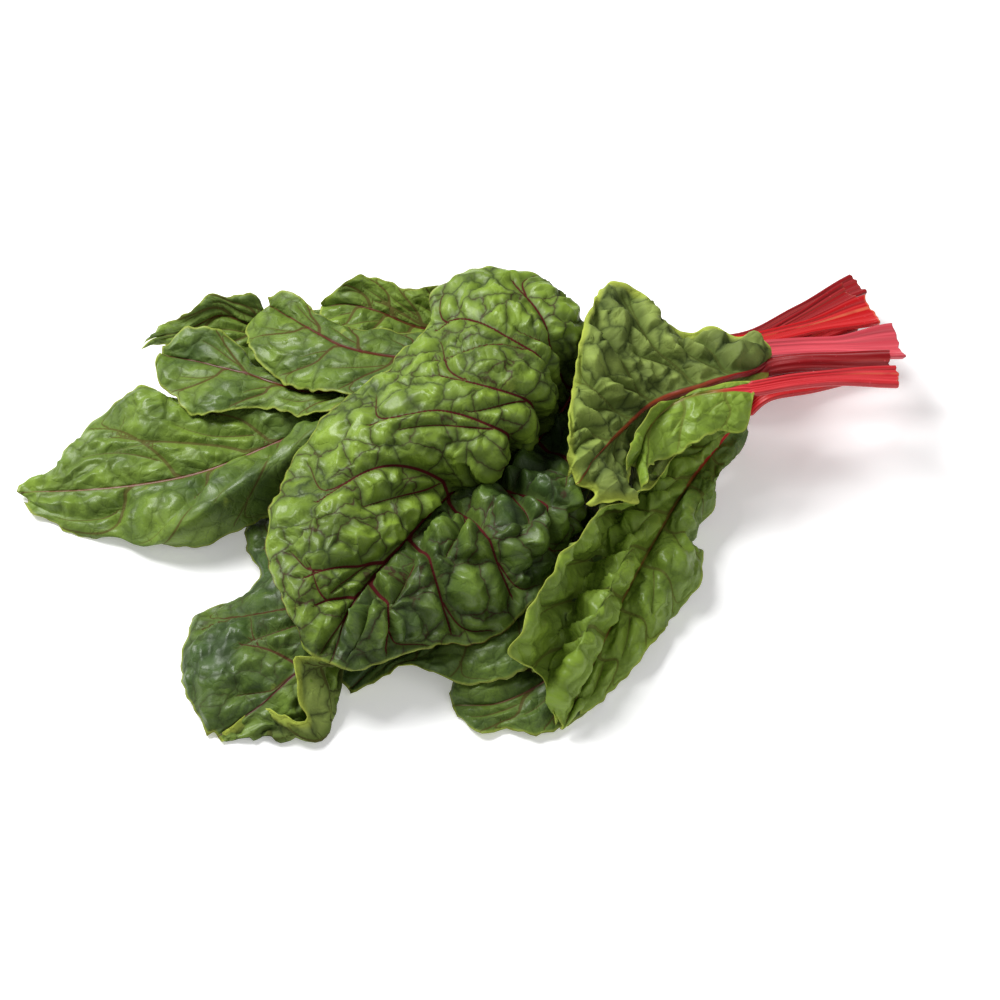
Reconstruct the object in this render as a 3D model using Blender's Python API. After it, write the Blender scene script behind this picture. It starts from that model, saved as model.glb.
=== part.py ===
"""A bunch of red swiss chard lying on its side: twelve leaves, each with its own ribbed stalk.

Every leaf is one closed solid that runs from the cut end of its stalk, along the midrib, to
the tip of its blade.  A leaf is laid out as a few lines in millimetres: the stalk, the midrib
(spine) and, on each side of it, one line for every fold and one for the margin.  A smooth
sheet is drawn through the lines.  The leaves are then laid down in order, lowest first, and
each is lifted just enough to lie on the surface and on the leaves below it.
"""

import math

import bpy
import numpy as np

MM = 0.001

# How finely a leaf is sampled: along its stalk, along its blade and across each half.
STALK_ROWS = 7
BLADE_ROWS = 16
HALF_COLUMNS = 5

# The stalk, in millimetres: thick along its middle, thin and raised at its edges.
STALK_THICKNESS = 5.5
STALK_EDGE = 0.28
STALK_TAPER = 36.0
STALK_CUP = 0.16
CUP_LEVEL = 0.35
HEADING_STEP = 0.01

# The blade, in millimetres, and its midrib from the stalk to the tip.
BLADE_THICKNESS = 1.1
MIDRIB_THICKNESS = (4.6, 1.3)
MIDRIB_HALF_WIDTH = (4.0, 1.0)
MIDRIB_COLUMN = 1 / HALF_COLUMNS
LEAST_MIDRIB = 0.02
BLADE_START = 0.12
ARCH = 0.10
WAVE_START = 0.6
WAVE_EASE = 4.0

# How leaves are laid on each other, in millimetres and in rounds of smoothing.
PILE_GAP = 1.0
SURFACE_GAP = 0.3
PILE_PARTS = 36
SPREAD_STEPS = 14

BLADE_GREEN = (0.055, 0.160, 0.022, 1.0)
BLADE_ROUGHNESS = 0.45


class Leaf:
    """One leaf as lines of hand-set points in millimetres, from the cut end to the tip.

    widths are those of the stalk at its cut end and at the blade.  waves holds, for the left
    and the right margin, how many times it rises and falls and how far.
    """

    def __init__(self, name, widths, stalk, spine, left, right, waves, turned=False):
        self.name = name
        self.widths = widths
        self.stalk = stalk
        self.spine = spine
        self.left = left
        self.right = right
        self.waves = waves
        self.turned = turned


# The leaves in the order in which they are laid down.  "left" is the left-hand side of a leaf
# seen from above with its tip pointing away; a turned leaf shows its underside.
LEAVES = [
    Leaf(
        "leaf_front_low",
        widths=(10, 6),
        stalk=[(196, 119, 6), (140, 98, 5), (116, 78, 6), (97, 50, 8)],
        spine=[(89, 31, 8), (73, -17, 10), (57, -57, 12), (43, -84, 12), (30, -94, 9),
               (12, -100, 6), (-6, -98, 3)],
        left=[[(101, 20, 6), (92, -25, 4), (77, -60, 3), (64, -86, 2), (51, -105, 2),
               (34, -115, 2), (18, -112, 2), (7, -113, 2), (-4, -103, 2)]],
        right=[[(74, 26, 10), (49, -16, 12), (25, -52, 13), (7, -73, 11), (-4, -85, 8),
                (-8, -92, 5)]],
        waves=((2.5, 2.5), (2.0, 3.0)),
    ),
    Leaf(
        "leaf_center_low",
        widths=(10, 6),
        stalk=[(192, 123, 14), (139, 97, 12), (114, 87, 11), (90, 72, 11)],
        spine=[(75, 61, 11), (45, 20, 13), (16, -18, 16), (-7, -48, 15), (-25, -68, 12),
               (-41, -81, 8), (-53, -89, 3)],
        left=[[(84, 39, 14), (72, -8, 17), (57, -45, 20), (44, -73, 19), (27, -90, 17),
               (-2, -93, 15), (-16, -87, 14), (-26, -83, 12), (-40, -88, 7), (-52, -92, 4)]],
        right=[[(60, 67, 12), (26, 39, 14), (-8, 6, 16), (-31, -25, 16), (-49, -51, 12),
                (-57, -71, 8), (-58, -84, 3)]],
        waves=((3.5, 3.0), (2.0, 2.0)),
    ),
    Leaf(
        "leaf_front_left",
        widths=(10, 6),
        stalk=[(194, 125, 22), (138, 98, 18), (109, 91, 17), (83, 80, 16)],
        spine=[(66, 67, 19), (26, 26, 22), (-12, -20, 25), (-43, -58, 25), (-65, -84, 21),
               (-76, -92, 18), (-91, -103, 10), (-103, -110, 5), (-110, -115, 2)],
        left=[[(65, 38, 19), (25, -16, 22), (-12, -57, 19), (-36, -75, 16), (-55, -78, 12),
               (-56, -87, 9), (-58, -103, 6), (-66, -114, 3), (-92, -115, 2), (-108, -117, 1)],
              [(60, 44, 21), (23, -12, 24), (-11, -56, 24), (-42, -83, 26), (-64, -90, 28),
               (-76, -90, 26), (-74, -102, 21), (-70, -114, 15), (-92, -104, 9),
               (-108, -114, 4)]],
        right=[[(46, 69, 21), (6, 41, 26), (-31, 1, 30), (-58, -27, 29), (-75, -50, 26),
                (-92, -66, 22), (-105, -80, 16), (-112, -100, 9), (-112, -113, 3)],
               [(36, 73, 20), (-3, 49, 24), (-41, 24, 24), (-74, 13, 20), (-101, 7, 8),
                (-105, -10, 4), (-96, -29, 6), (-117, -43, 7), (-126, -45, 5), (-128, -61, 4),
                (-130, -81, 3), (-121, -102, 3), (-115, -114, 2)]],
        waves=((3.0, 1.5), (3.5, 4.0)),
    ),
    Leaf(
        "leaf_far_left",
        widths=(12, 8),
        stalk=[(206, 114, 18), (168, 101, 21), (136, 88, 23), (96, 89, 24), (46, 94, 25)],
        spine=[(16, 92, 27), (-23, 75, 28), (-62, 55, 28), (-90, 41, 25), (-126, 27, 19),
               (-153, 23, 15), (-185, 23, 10), (-218, 26, 5)],
        left=[[(11, 79, 36), (-22, 59, 46), (-60, 41, 46), (-88, 18, 41), (-110, 3, 35),
               (-136, -10, 22), (-151, -10, 10), (-170, -1, 7), (-192, 8, 5), (-206, 17, 4),
               (-213, 22, 4)],
              [(11, 67, 30), (-23, 48, 26), (-60, 21, 24), (-87, 5, 20), (-108, -1, 10),
               (-123, -6, 4), (-135, -8, 2), (-149, -3, 2), (-168, 1, 2), (-187, 2, 1),
               (-200, 10, 2), (-209, 14, 3), (-215, 22, 4)]],
        right=[[(11, 100, 30), (-34, 102, 32), (-73, 90, 30), (-107, 75, 28), (-131, 70, 26),
                (-155, 74, 24), (-171, 74, 18), (-183, 69, 14), (-193, 57, 10), (-199, 42, 7),
                (-207, 38, 5), (-214, 35, 5), (-217, 30, 5)]],
        waves=((3.0, 1.5), (4.5, 4.5)),
    ),
    Leaf(
        "leaf_back_left",
        widths=(10, 6),
        stalk=[(189, 145, 13), (139, 111, 12), (100, 117, 10), (60, 125, 9), (16, 130, 9)],
        spine=[(6, 130, 10), (-35, 126, 14), (-75, 124, 18), (-104, 120, 22), (-125, 125, 26),
               (-141, 121, 20), (-159, 123, 12)],
        left=[[(1, 116, 8), (-35, 103, 8), (-75, 97, 8), (-104, 97, 9), (-122, 104, 12),
               (-138, 115, 14), (-154, 120, 10), (-167, 122, 5)]],
        right=[[(1, 139, 12), (-35, 144, 14), (-76, 140, 18), (-103, 127, 24), (-109, 130, 32),
                (-121, 129, 36), (-130, 130, 40), (-136, 126, 36), (-145, 124, 24),
                (-157, 127, 16), (-167, 123, 7)]],
        waves=((3.0, 3.0), (3.5, 4.0)),
    ),
    Leaf(
        "leaf_back_dark",
        widths=(14, 7),
        stalk=[(200, 153, 20), (169, 136, 18), (140, 119, 16), (105, 115, 18), (66, 118, 21),
               (39, 117, 27)],
        spine=[(26, 114, 30), (1, 111, 32), (-23, 108, 34), (-45, 114, 40), (-61, 119, 40),
               (-73, 122, 34)],
        left=[[(21, 98, 32), (-4, 86, 35), (-33, 83, 36), (-57, 90, 38), (-74, 108, 34)]],
        right=[[(21, 129, 34), (1, 132, 38), (-14, 130, 40), (-29, 125, 44), (-43, 130, 50),
                (-52, 129, 50), (-62, 126, 46), (-74, 122, 38)]],
        waves=((2.0, 2.0), (2.5, 3.0)),
    ),
    Leaf(
        "leaf_left_upper",
        widths=(12, 7),
        stalk=[(193, 140, 28), (163, 119, 27), (137, 103, 25), (85, 95, 31), (26, 78, 44)],
        spine=[(-8, 70, 47), (-47, 63, 40), (-76, 62, 37), (-105, 74, 36), (-129, 86, 32),
               (-153, 98, 26)],
        left=[[(-13, 51, 50), (-46, 40, 50), (-76, 43, 41), (-95, 54, 37), (-111, 53, 34),
               (-127, 51, 30), (-135, 56, 29), (-142, 66, 30), (-151, 75, 30), (-154, 87, 31)]],
        right=[[(-14, 82, 42), (-48, 81, 47), (-77, 85, 37), (-101, 85, 34), (-117, 100, 36),
                (-129, 104, 38), (-141, 104, 36), (-152, 100, 30)]],
        waves=((3.0, 3.0), (2.5, 3.0)),
    ),
    Leaf(
        "leaf_back_mid",
        widths=(19, 8),
        stalk=[(203, 122, 33), (169, 110, 33), (136, 100, 33), (88, 87, 40), (40, 83, 48)],
        spine=[(11, 76, 51), (-18, 69, 52), (-39, 73, 51), (-59, 79, 51), (-76, 96, 45),
               (-90, 113, 38), (-100, 125, 33)],
        left=[[(6, 61, 50), (-22, 44, 56), (-46, 45, 50), (-68, 52, 47), (-85, 62, 44),
               (-100, 77, 41), (-108, 93, 37), (-110, 108, 34), (-105, 118, 33)]],
        right=[[(6, 98, 44), (-19, 95, 46), (-40, 92, 46), (-57, 99, 46), (-74, 110, 44),
                (-85, 123, 40), (-92, 127, 41), (-101, 128, 36)]],
        waves=((2.5, 3.0), (2.5, 3.5)),
    ),
    Leaf(
        "leaf_center_large",
        widths=(22, 10),
        stalk=[(213, 98, 35), (188, 94, 37), (164, 93, 37), (135, 87, 40), (107, 77, 45),
               (81, 73, 52)],
        spine=[(67, 75, 50), (53, 63, 39), (42, 48, 31), (25, 27, 30), (-2, 4, 36),
               (-32, -40, 40), (-51, -72, 40), (-59, -95, 30)],
        left=[[(69, 53, 52), (62, 24, 52), (46, -9, 54), (24, -34, 54), (-4, -45, 52),
               (-27, -69, 49), (-44, -87, 42), (-54, -97, 30)],
              [(72, 76, 45), (69, 41, 41), (57, -6, 36), (43, -38, 31), (30, -63, 28),
               (12, -76, 26), (-12, -82, 26), (-33, -91, 26), (-49, -96, 27)]],
        right=[[(57, 72, 60), (43, 64, 70), (37, 38, 68), (22, 11, 66), (10, -1, 60),
                (-7, 0, 52), (-32, -30, 48), (-54, -65, 46), (-64, -94, 32)],
               [(50, 85, 69), (36, 83, 78), (20, 64, 78), (6, 38, 78), (-16, 17, 74),
                (-44, 1, 64), (-61, -33, 55), (-69, -62, 50), (-68, -92, 33)],
               [(48, 84, 61), (45, 98, 67), (36, 107, 72), (18, 112, 73), (1, 112, 69),
                (-15, 104, 64), (-20, 83, 62), (-33, 67, 60), (-39, 56, 57), (-56, 43, 54),
                (-70, 29, 50), (-79, 18, 47), (-86, -2, 43), (-91, -34, 42), (-86, -56, 41),
                (-78, -74, 38), (-72, -86, 30)]],
        waves=((3.5, 4.0), (4.0, 2.5)),
    ),
    Leaf(
        "leaf_front_right",
        widths=(13, 8),
        stalk=[(195, 76, 42), (168, 63, 43), (143, 55, 44)],
        spine=[(133, 51, 35), (120, 40, 22), (104, 15, 20), (89, -15, 20), (74, -46, 18),
               (61, -77, 15), (50, -100, 10), (44, -114, 7)],
        left=[[(131, 47, 20), (120, 22, 22), (106, -7, 24), (96, -34, 23), (85, -56, 18),
               (70, -80, 12), (52, -104, 9)],
              [(136, 59, 14), (129, 47, 10), (121, 28, 12), (118, 14, 10), (106, -6, 8),
               (112, -18, 7), (108, -35, 7), (95, -50, 7), (87, -68, 6), (71, -86, 5),
               (53, -105, 4)]],
        right=[[(125, 42, 31), (107, 26, 28), (86, -8, 32), (72, -40, 35), (62, -66, 37),
                (54, -81, 36), (49, -92, 30), (44, -102, 20), (42, -110, 10)],
               [(120, 42, 32), (90, 31, 26), (70, -9, 26), (58, -33, 22), (48, -59, 21),
                (41, -78, 22), (38, -90, 19), (39, -102, 13), (42, -110, 9)],
               [(106, 32, 36), (81, -9, 44), (62, -24, 50), (53, -37, 53), (42, -55, 53),
                (32, -75, 51), (25, -90, 47), (21, -97, 42), (34, -98, 25), (40, -105, 15),
                (40, -113, 9)]],
        waves=((4.0, 6.0), (3.0, 2.0)),
    ),
    Leaf(
        "leaf_turned_over",
        widths=(13, 9),
        stalk=[(203, 72, 47), (185, 70, 49), (163, 70, 49)],
        spine=[(144, 70, 45), (129, 60, 49), (112, 55, 48), (90, 48, 46), (71, 22, 53),
               (59, -1, 59), (51, -12, 55)],
        left=[[(136, 71, 52), (112, 75, 53), (90, 73, 56), (73, 58, 62), (60, 32, 64),
               (53, 8, 64), (49, -7, 57)],
              [(147, 79, 49), (140, 86, 51), (131, 85, 52), (120, 92, 54), (108, 89, 52),
               (92, 98, 52), (85, 110, 57), (69, 114, 62), (60, 91, 66), (53, 60, 68),
               (49, 33, 64), (47, 2, 63), (47, -8, 55)]],
        right=[[(129, 55, 48), (112, 52, 44), (93, 47, 41), (74, 24, 49), (65, 0, 57),
                (64, -13, 56), (59, -15, 53)],
               [(139, 60, 45), (121, 48, 46), (107, 50, 36), (94, 43, 33), (86, 32, 33),
                (79, 15, 37), (75, -8, 49), (80, -17, 50), (67, -21, 53), (55, -23, 55)]],
        waves=((3.5, 3.0), (2.0, 2.0)),
        turned=True,
    ),
    Leaf(
        "leaf_front_small",
        widths=(11, 7),
        stalk=[(204, 50, 62), (180, 50, 62), (155, 48, 61)],
        spine=[(135, 46, 58), (121, 44, 58), (108, 44, 55), (97, 40, 52), (87, 29, 50),
               (79, 7, 46)],
        left=[[(135, 39, 54), (131, 27, 50), (119, 27, 50), (111, 22, 45), (99, 17, 44),
               (88, 13, 44), (84, -7, 52), (81, -8, 47)]],
        right=[[(132, 51, 57), (118, 49, 56), (106, 47, 55), (92, 39, 54), (83, 26, 56),
                (75, 7, 56), (76, -1, 52)]],
        waves=((2.5, 3.0), (2.0, 2.5)),
    ),
]


def unit(vectors):
    """Vectors scaled to length one."""
    return vectors / np.maximum(np.linalg.norm(vectors, axis=-1, keepdims=True), 1e-9)


def smooth_step(values):
    """An ease from 0 to 1."""
    values = np.clip(values, 0.0, 1.0)
    return values * values * (3.0 - 2.0 * values)


def hermite(knots, values, at):
    """Values on the smooth curve that passes through the given ones at the knots."""
    knots = np.asarray(knots, float)
    steps = np.diff(knots).reshape((-1,) + (1,) * (values.ndim - 1))
    slopes = np.diff(values, axis=0) / steps
    tangents = np.empty_like(values)
    tangents[0] = slopes[0]
    tangents[-1] = slopes[-1]
    tangents[1:-1] = (slopes[:-1] * steps[1:] + slopes[1:] * steps[:-1]) / (steps[1:] + steps[:-1])
    index = np.clip(np.searchsorted(knots, at, side="right") - 1, 0, len(knots) - 2)
    step = (knots[index + 1] - knots[index]).reshape((-1,) + (1,) * (values.ndim - 1))
    t = (np.asarray(at) - knots[index]).reshape(step.shape) / step
    return (
        values[index] * (1 + 2 * t) * (1 - t) ** 2
        + tangents[index] * step * t * (1 - t) ** 2
        + values[index + 1] * t * t * (3 - 2 * t)
        + tangents[index + 1] * step * t * t * (t - 1)
    )


def line_through(points, at):
    """Places at the given shares of the length of a smooth line through the points."""
    points = np.asarray(points, float)
    chords = np.sqrt(np.linalg.norm(np.diff(points, axis=0), axis=1))
    knots = np.concatenate([[0.0], np.cumsum(chords)])
    fine = hermite(knots, points, np.linspace(0.0, knots[-1], 200))
    run = np.concatenate([[0.0], np.cumsum(np.linalg.norm(np.diff(fine, axis=0), axis=1))])
    run /= run[-1]
    return np.stack([np.interp(at, run, line) for line in fine.T], axis=1)


def side_of(tangents, turned):
    """The direction to a leaf's left, level with the ground."""
    flat = np.stack([-tangents[:, 1], tangents[:, 0], np.zeros(len(tangents))], axis=1)
    return unit(-flat if turned else flat)


def stalk_rows(leaf, at, columns):
    """The upper face of the stalk, cupped along its middle, and its thickness."""
    whole = leaf.stalk + [leaf.spine[0], leaf.spine[1]]
    lengths = np.linalg.norm(np.diff(np.asarray(whole, float), axis=0), axis=1)
    share = lengths[:-1].sum() / lengths.sum()
    centres = line_through(whole, at * share)
    ahead = line_through(whole, np.minimum(at * share + HEADING_STEP, 1.0))
    behind = line_through(whole, np.maximum(at * share - HEADING_STEP, 0.0))
    tangents = unit(ahead - behind)
    side = side_of(tangents, leaf.turned)
    up = np.cross(tangents, side)
    ease = smooth_step(at * lengths[:-1].sum() / STALK_TAPER)
    width = leaf.widths[0] + (leaf.widths[1] - leaf.widths[0]) * ease
    reach = width[:, None] / 2 * columns[None, :]
    cup = width[:, None] * STALK_CUP * (columns[None, :] ** 2 - CUP_LEVEL)
    points = centres[:, None] + side[:, None] * reach[..., None] + up[:, None] * cup[..., None]
    depth = STALK_THICKNESS * (width[:, None] / leaf.widths[0]) ** 0.5
    thickness = depth * (1 - (1 - STALK_EDGE) * columns[None, :] ** 2)
    return points, thickness


def places_across(width, at, columns):
    """Where the columns of one half lie, with a fixed share of them over the midrib."""
    midrib = MIDRIB_HALF_WIDTH[0] + (MIDRIB_HALF_WIDTH[1] - MIDRIB_HALF_WIDTH[0]) * at
    first = np.clip(midrib / np.maximum(width, 1.0), LEAST_MIDRIB, MIDRIB_COLUMN)[:, None]
    inner = columns / MIDRIB_COLUMN * first
    outer = first + (1 - first) * (columns - MIDRIB_COLUMN) / (1 - MIDRIB_COLUMN)
    return np.where(columns < MIDRIB_COLUMN, inner, outer)


def blade_half(leaf, lines, sign, at, columns):
    """One side of the blade, from the midrib out to the margin."""
    spine = line_through(leaf.spine, at)
    start = np.asarray(leaf.spine[0], float)
    heading = unit(np.asarray([leaf.spine[1]], float) - start)
    edge = start + side_of(heading, leaf.turned)[0] * sign * leaf.widths[1] / 2
    edge[2] += leaf.widths[1] * STALK_CUP * (1 - CUP_LEVEL) * (-1 if leaf.turned else 1)
    rails = [spine]
    for index, line in enumerate(lines):
        first = start + (edge - start) * (index + 1) / len(lines)
        rails.append(line_through([tuple(first)] + list(line), at))
    rails = np.stack(rails)
    width = np.linalg.norm(np.diff(rails, axis=0), axis=2).sum(axis=0)
    places = places_across(width, at, columns)
    knots = np.linspace(0.0, 1.0, len(rails))
    half = np.stack([hermite(knots, rails[:, row], places[row]) for row in range(len(at))])
    if len(lines) == 1:
        half[..., 2] += ARCH * width[:, None] * np.sin(math.pi * places)
    count, height = leaf.waves[0 if sign > 0 else 1]
    ends = smooth_step(WAVE_EASE * at) * smooth_step(WAVE_EASE * (1.0 - at))
    rise = height * np.sin(2 * math.pi * count * at + WAVE_START) * ends
    half[..., 2] += rise[:, None] * places ** 2
    return half


def leaf_sheet(leaf, stalk_at, blade_at, columns):
    """The whole upper face of a leaf as rows of points, right edge first, and its thickness."""
    across = np.concatenate([-columns[:0:-1], columns])
    stalk, stalk_depth = stalk_rows(leaf, stalk_at, across)
    left = blade_half(leaf, leaf.left, 1, blade_at, columns)
    right = blade_half(leaf, leaf.right, -1, blade_at, columns)
    blade = np.concatenate([right[:, :0:-1], left], axis=1)
    midrib = MIDRIB_THICKNESS[0] + (MIDRIB_THICKNESS[1] - MIDRIB_THICKNESS[0]) * blade_at
    hump = 0.5 + 0.5 * np.cos(math.pi * np.clip(np.abs(across) / MIDRIB_COLUMN, 0, 1))
    blade_depth = BLADE_THICKNESS + (midrib[:, None] - BLADE_THICKNESS) * hump
    base_depth = stalk_depth[-1:]
    ease = smooth_step(blade_at / BLADE_START)[:, None]
    blade_depth = base_depth + (blade_depth - base_depth) * ease
    blend = smooth_step(blade_at / (BLADE_START * 0.5))[:, None, None]
    blade = blade + (stalk[-1:] - blade[:1]) * (1 - blend)
    points = np.concatenate([stalk[:-1], blade])
    return points, np.concatenate([stalk_depth[:-1], blade_depth])


def neighbour_mean(values, rounds):
    """Values on a grid, averaged with their neighbours."""
    tail = ((0, 0),) * (values.ndim - 2)
    for _ in range(rounds):
        padded = np.pad(values, ((1, 1), (1, 1)) + tail, mode="edge")
        values = (padded[:-2, 1:-1] + padded[2:, 1:-1] + padded[1:-1, :-2]
                  + padded[1:-1, 2:] + 2 * values) / 6
    return values


def sheet_normals(points):
    """Directions out of the upper face."""
    along = np.gradient(points, axis=0)
    across = np.gradient(points, axis=1)
    return unit(neighbour_mean(unit(np.cross(along, across)), 2))


def facets(points, parts):
    """Places spread evenly over the two flat facets of every quad."""
    a, b = np.meshgrid(np.linspace(0, 1, parts), np.linspace(0, 1, parts), indexing="ij")
    a = a.reshape(1, 1, -1, 1)
    b = b.reshape(1, 1, -1, 1)
    p00 = points[:-1, :-1, None]
    p10 = points[1:, :-1, None]
    p01 = points[:-1, 1:, None]
    p11 = points[1:, 1:, None]
    near = p00 + a * (p10 - p00) + b * (p01 - p00)
    far = p11 + (1 - a) * (p01 - p11) + (1 - b) * (p10 - p11)
    return np.where(a + b <= 1, near, far)


class Pile:
    """The height of what has been laid down so far, on a square grid of one-millimetre cells."""

    HALF_SIDE = 260.0

    def __init__(self):
        count = int(2 * self.HALF_SIDE)
        self.top = np.full((count, count), SURFACE_GAP - PILE_GAP)

    def cells(self, places):
        index = (places[..., :2] + self.HALF_SIDE).astype(int)
        return index[..., 0], index[..., 1]

    def lift_for(self, faces):
        """How far each point of a leaf has to rise to clear the pile, made smooth."""
        needed = np.full(faces[0].shape[:2], -1e3)
        for points in faces:
            samples = facets(points, PILE_PARTS)
            quad = (self.top[self.cells(samples)] + PILE_GAP - samples[..., 2]).max(axis=2)
            for rows in (slice(None, -1), slice(1, None)):
                for columns in (slice(None, -1), slice(1, None)):
                    needed[rows, columns] = np.maximum(needed[rows, columns], quad)
        lift = np.maximum(needed, 0.0)
        for _ in range(SPREAD_STEPS):
            lift = np.maximum(np.maximum(needed, 0.0), neighbour_mean(lift, 1))
        return lift

    def lay(self, faces):
        """Lays a leaf down on the pile."""
        lift = self.lift_for(faces)
        for points in faces:
            points[..., 2] += lift
            samples = facets(points, PILE_PARTS)
            np.maximum.at(self.top, self.cells(samples), samples[..., 2])
        return lift


def settled_sheets():
    """Every leaf's two faces, after it has been laid on the ones below, and its lift."""
    stalk_at = np.linspace(0, 1, STALK_ROWS)
    blade_at = np.linspace(0, 1, BLADE_ROWS)
    columns = np.linspace(0, 1, HALF_COLUMNS + 1)
    pile = Pile()
    sheets = {}
    for leaf in LEAVES:
        points, thickness = leaf_sheet(leaf, stalk_at, blade_at, columns)
        lower = points - sheet_normals(points) * thickness[..., None]
        lift = pile.lay((points, lower))
        sheets[leaf.name] = (points, lower, lift)
    return sheets


def bunch_origin(sheets):
    """The middle of the bunch's box, at the height of its lowest point."""
    every = np.concatenate([face.reshape(-1, 3) for upper, lower, _ in sheets.values()
                            for face in (upper, lower)])
    low, high = every.min(axis=0), every.max(axis=0)
    return np.array([(low[0] + high[0]) / 2, (low[1] + high[1]) / 2, low[2]])


def grid_faces(rows, columns, first, turn):
    """Two triangles for every quad of a grid of points."""
    faces = []
    for row in range(rows - 1):
        for column in range(columns - 1):
            p00 = first + row * columns + column
            p01, p10, p11 = p00 + 1, p00 + columns, p00 + columns + 1
            for face in ((p00, p10, p01), (p11, p01, p10)):
                faces.append(face[::-1] if turn else face)
    return faces


def edge_faces(rows, columns):
    """The narrow wall that joins the upper and lower faces all the way round."""
    ring = list(range(columns))
    ring += [row * columns + columns - 1 for row in range(1, rows)]
    ring += [(rows - 1) * columns + column for column in range(columns - 2, -1, -1)]
    ring += [row * columns for row in range(rows - 2, 0, -1)]
    shift = rows * columns
    faces = []
    for here, after in zip(ring, ring[1:] + ring[:1]):
        faces.append((here, after, after + shift))
        faces.append((here, after + shift, here + shift))
    return faces


def leaf_material(name):
    """Plain leaf green."""
    material = bpy.data.materials.new(name)
    material.use_nodes = True
    shader = material.node_tree.nodes["Principled BSDF"]
    shader.inputs["Base Color"].default_value = BLADE_GREEN
    shader.inputs["Roughness"].default_value = BLADE_ROUGHNESS
    material.diffuse_color = BLADE_GREEN
    return material


def leaf_object(name, upper, lower):
    """One closed leaf."""
    rows, columns = upper.shape[:2]
    points = np.concatenate([upper.reshape(-1, 3), lower.reshape(-1, 3)]) * MM
    faces = grid_faces(rows, columns, 0, False)
    faces += grid_faces(rows, columns, rows * columns, True)
    faces += edge_faces(rows, columns)
    mesh = bpy.data.meshes.new(name)
    mesh.from_pydata(points.tolist(), [], faces)
    mesh.materials.append(leaf_material(name + "_green"))
    mesh.shade_smooth()
    obj = bpy.data.objects.new(name, mesh)
    bpy.context.scene.collection.objects.link(obj)


def main():
    for obj in list(bpy.data.objects):
        bpy.data.objects.remove(obj, do_unlink=True)
    sheets = settled_sheets()
    origin = bunch_origin(sheets)
    for name, (upper, lower, _) in sheets.items():
        leaf_object(name, upper - origin, lower - origin)


if __name__ == "__main__":
    main()
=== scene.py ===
"""A bunch of red swiss chard lying on a pale floor: twelve crinkled leaves on ribbed stalks.

Each leaf is drawn as a smooth sheet through lines of points, laid on the leaves below it, then
quilted between its veins and coloured from what is stored at each of its points.
"""

import functools
import math

import bpy
import numpy as np
from bpy.props import FloatProperty, FloatVectorProperty, PointerProperty
from mathutils.kdtree import KDTree
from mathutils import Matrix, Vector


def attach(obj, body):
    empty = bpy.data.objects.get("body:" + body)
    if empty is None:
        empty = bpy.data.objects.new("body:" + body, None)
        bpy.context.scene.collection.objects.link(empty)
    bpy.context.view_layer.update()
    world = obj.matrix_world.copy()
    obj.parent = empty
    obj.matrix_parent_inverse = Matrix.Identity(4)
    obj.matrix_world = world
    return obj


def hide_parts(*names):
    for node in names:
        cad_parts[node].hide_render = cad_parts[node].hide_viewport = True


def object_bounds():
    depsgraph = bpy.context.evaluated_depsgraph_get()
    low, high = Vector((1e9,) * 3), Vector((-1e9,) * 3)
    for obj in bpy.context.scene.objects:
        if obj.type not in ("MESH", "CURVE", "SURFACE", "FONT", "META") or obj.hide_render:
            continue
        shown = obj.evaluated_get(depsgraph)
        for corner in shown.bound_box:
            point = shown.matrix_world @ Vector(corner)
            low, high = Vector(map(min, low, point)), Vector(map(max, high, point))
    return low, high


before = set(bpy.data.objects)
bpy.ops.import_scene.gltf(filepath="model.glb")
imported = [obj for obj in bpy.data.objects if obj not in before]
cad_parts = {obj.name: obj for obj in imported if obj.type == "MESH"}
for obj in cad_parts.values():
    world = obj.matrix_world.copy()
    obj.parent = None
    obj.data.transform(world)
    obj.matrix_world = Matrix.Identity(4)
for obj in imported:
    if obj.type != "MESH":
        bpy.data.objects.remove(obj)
CAD_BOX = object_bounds()

bl_info = {
    "name": "Swiss Chard Bunch",
    "version": (1, 0, 0),
    "blender": (4, 5, 0),
    "location": "View3D > Sidebar > Chard",
    "description": "Makes a bunch of red swiss chard, leaf by leaf",
    "category": "Add Mesh",
}

MM = 0.001

# The stalk, in millimetres: thick along its middle, thin and raised at its edges.
STALK_THICKNESS = 5.5
STALK_EDGE = 0.28
STALK_TAPER = 36.0
STALK_CUP = 0.16
CUP_LEVEL = 0.35
HEADING_STEP = 0.01

# The blade, in millimetres, and its midrib from the stalk to the tip.
CAD_BLADE_THICKNESS = 1.1
BLADE_THICKNESS = 0.7
MIDRIB_THICKNESS = (4.6, 1.3)
MIDRIB_HALF_WIDTH = (4.0, 1.0)
MIDRIB_COLUMN = 0.2
LEAST_MIDRIB = 0.02
BLADE_START = 0.12
ARCH = 0.10
WAVE_START = 0.6
WAVE_EASE = 4.0

# How coarsely the CAD samples a leaf.
COARSE_STALK_ROWS = 7
COARSE_BLADE_ROWS = 16
COARSE_COLUMNS = 5

# How leaves are laid on each other: gaps in millimetres, places looked at along each side of
# a quad, and rounds in which a lift is smoothed.
COARSE_GAP = 1.0
COARSE_PARTS = 36
COARSE_SPREAD = 14
FINE_GAP = 0.6
FINE_PARTS = 3
FINE_SPREAD = 24
SURFACE_GAP = 0.3
OUT_OF_REACH = 1000.0

# Room for the relief under another leaf, in one-millimetre cells and millimetres, and the
# least height of any point over the floor, in metres.
ROOM_CELLS = 3
ROOM_START = 0.3
ROOM_SPAN = 4.0
ROOM_SPREAD = 4
FLOOR_GAP = 0.0002

# The fine sampling of a leaf, in steps and shares of the stalk.
CUT_STEPS = (0.0, 0.003)
FIRST_STALK_STEP = 0.015
STALK_STEPS = 44
MIDRIB_STEPS = 4
NORMAL_SPREAD = 6

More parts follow.
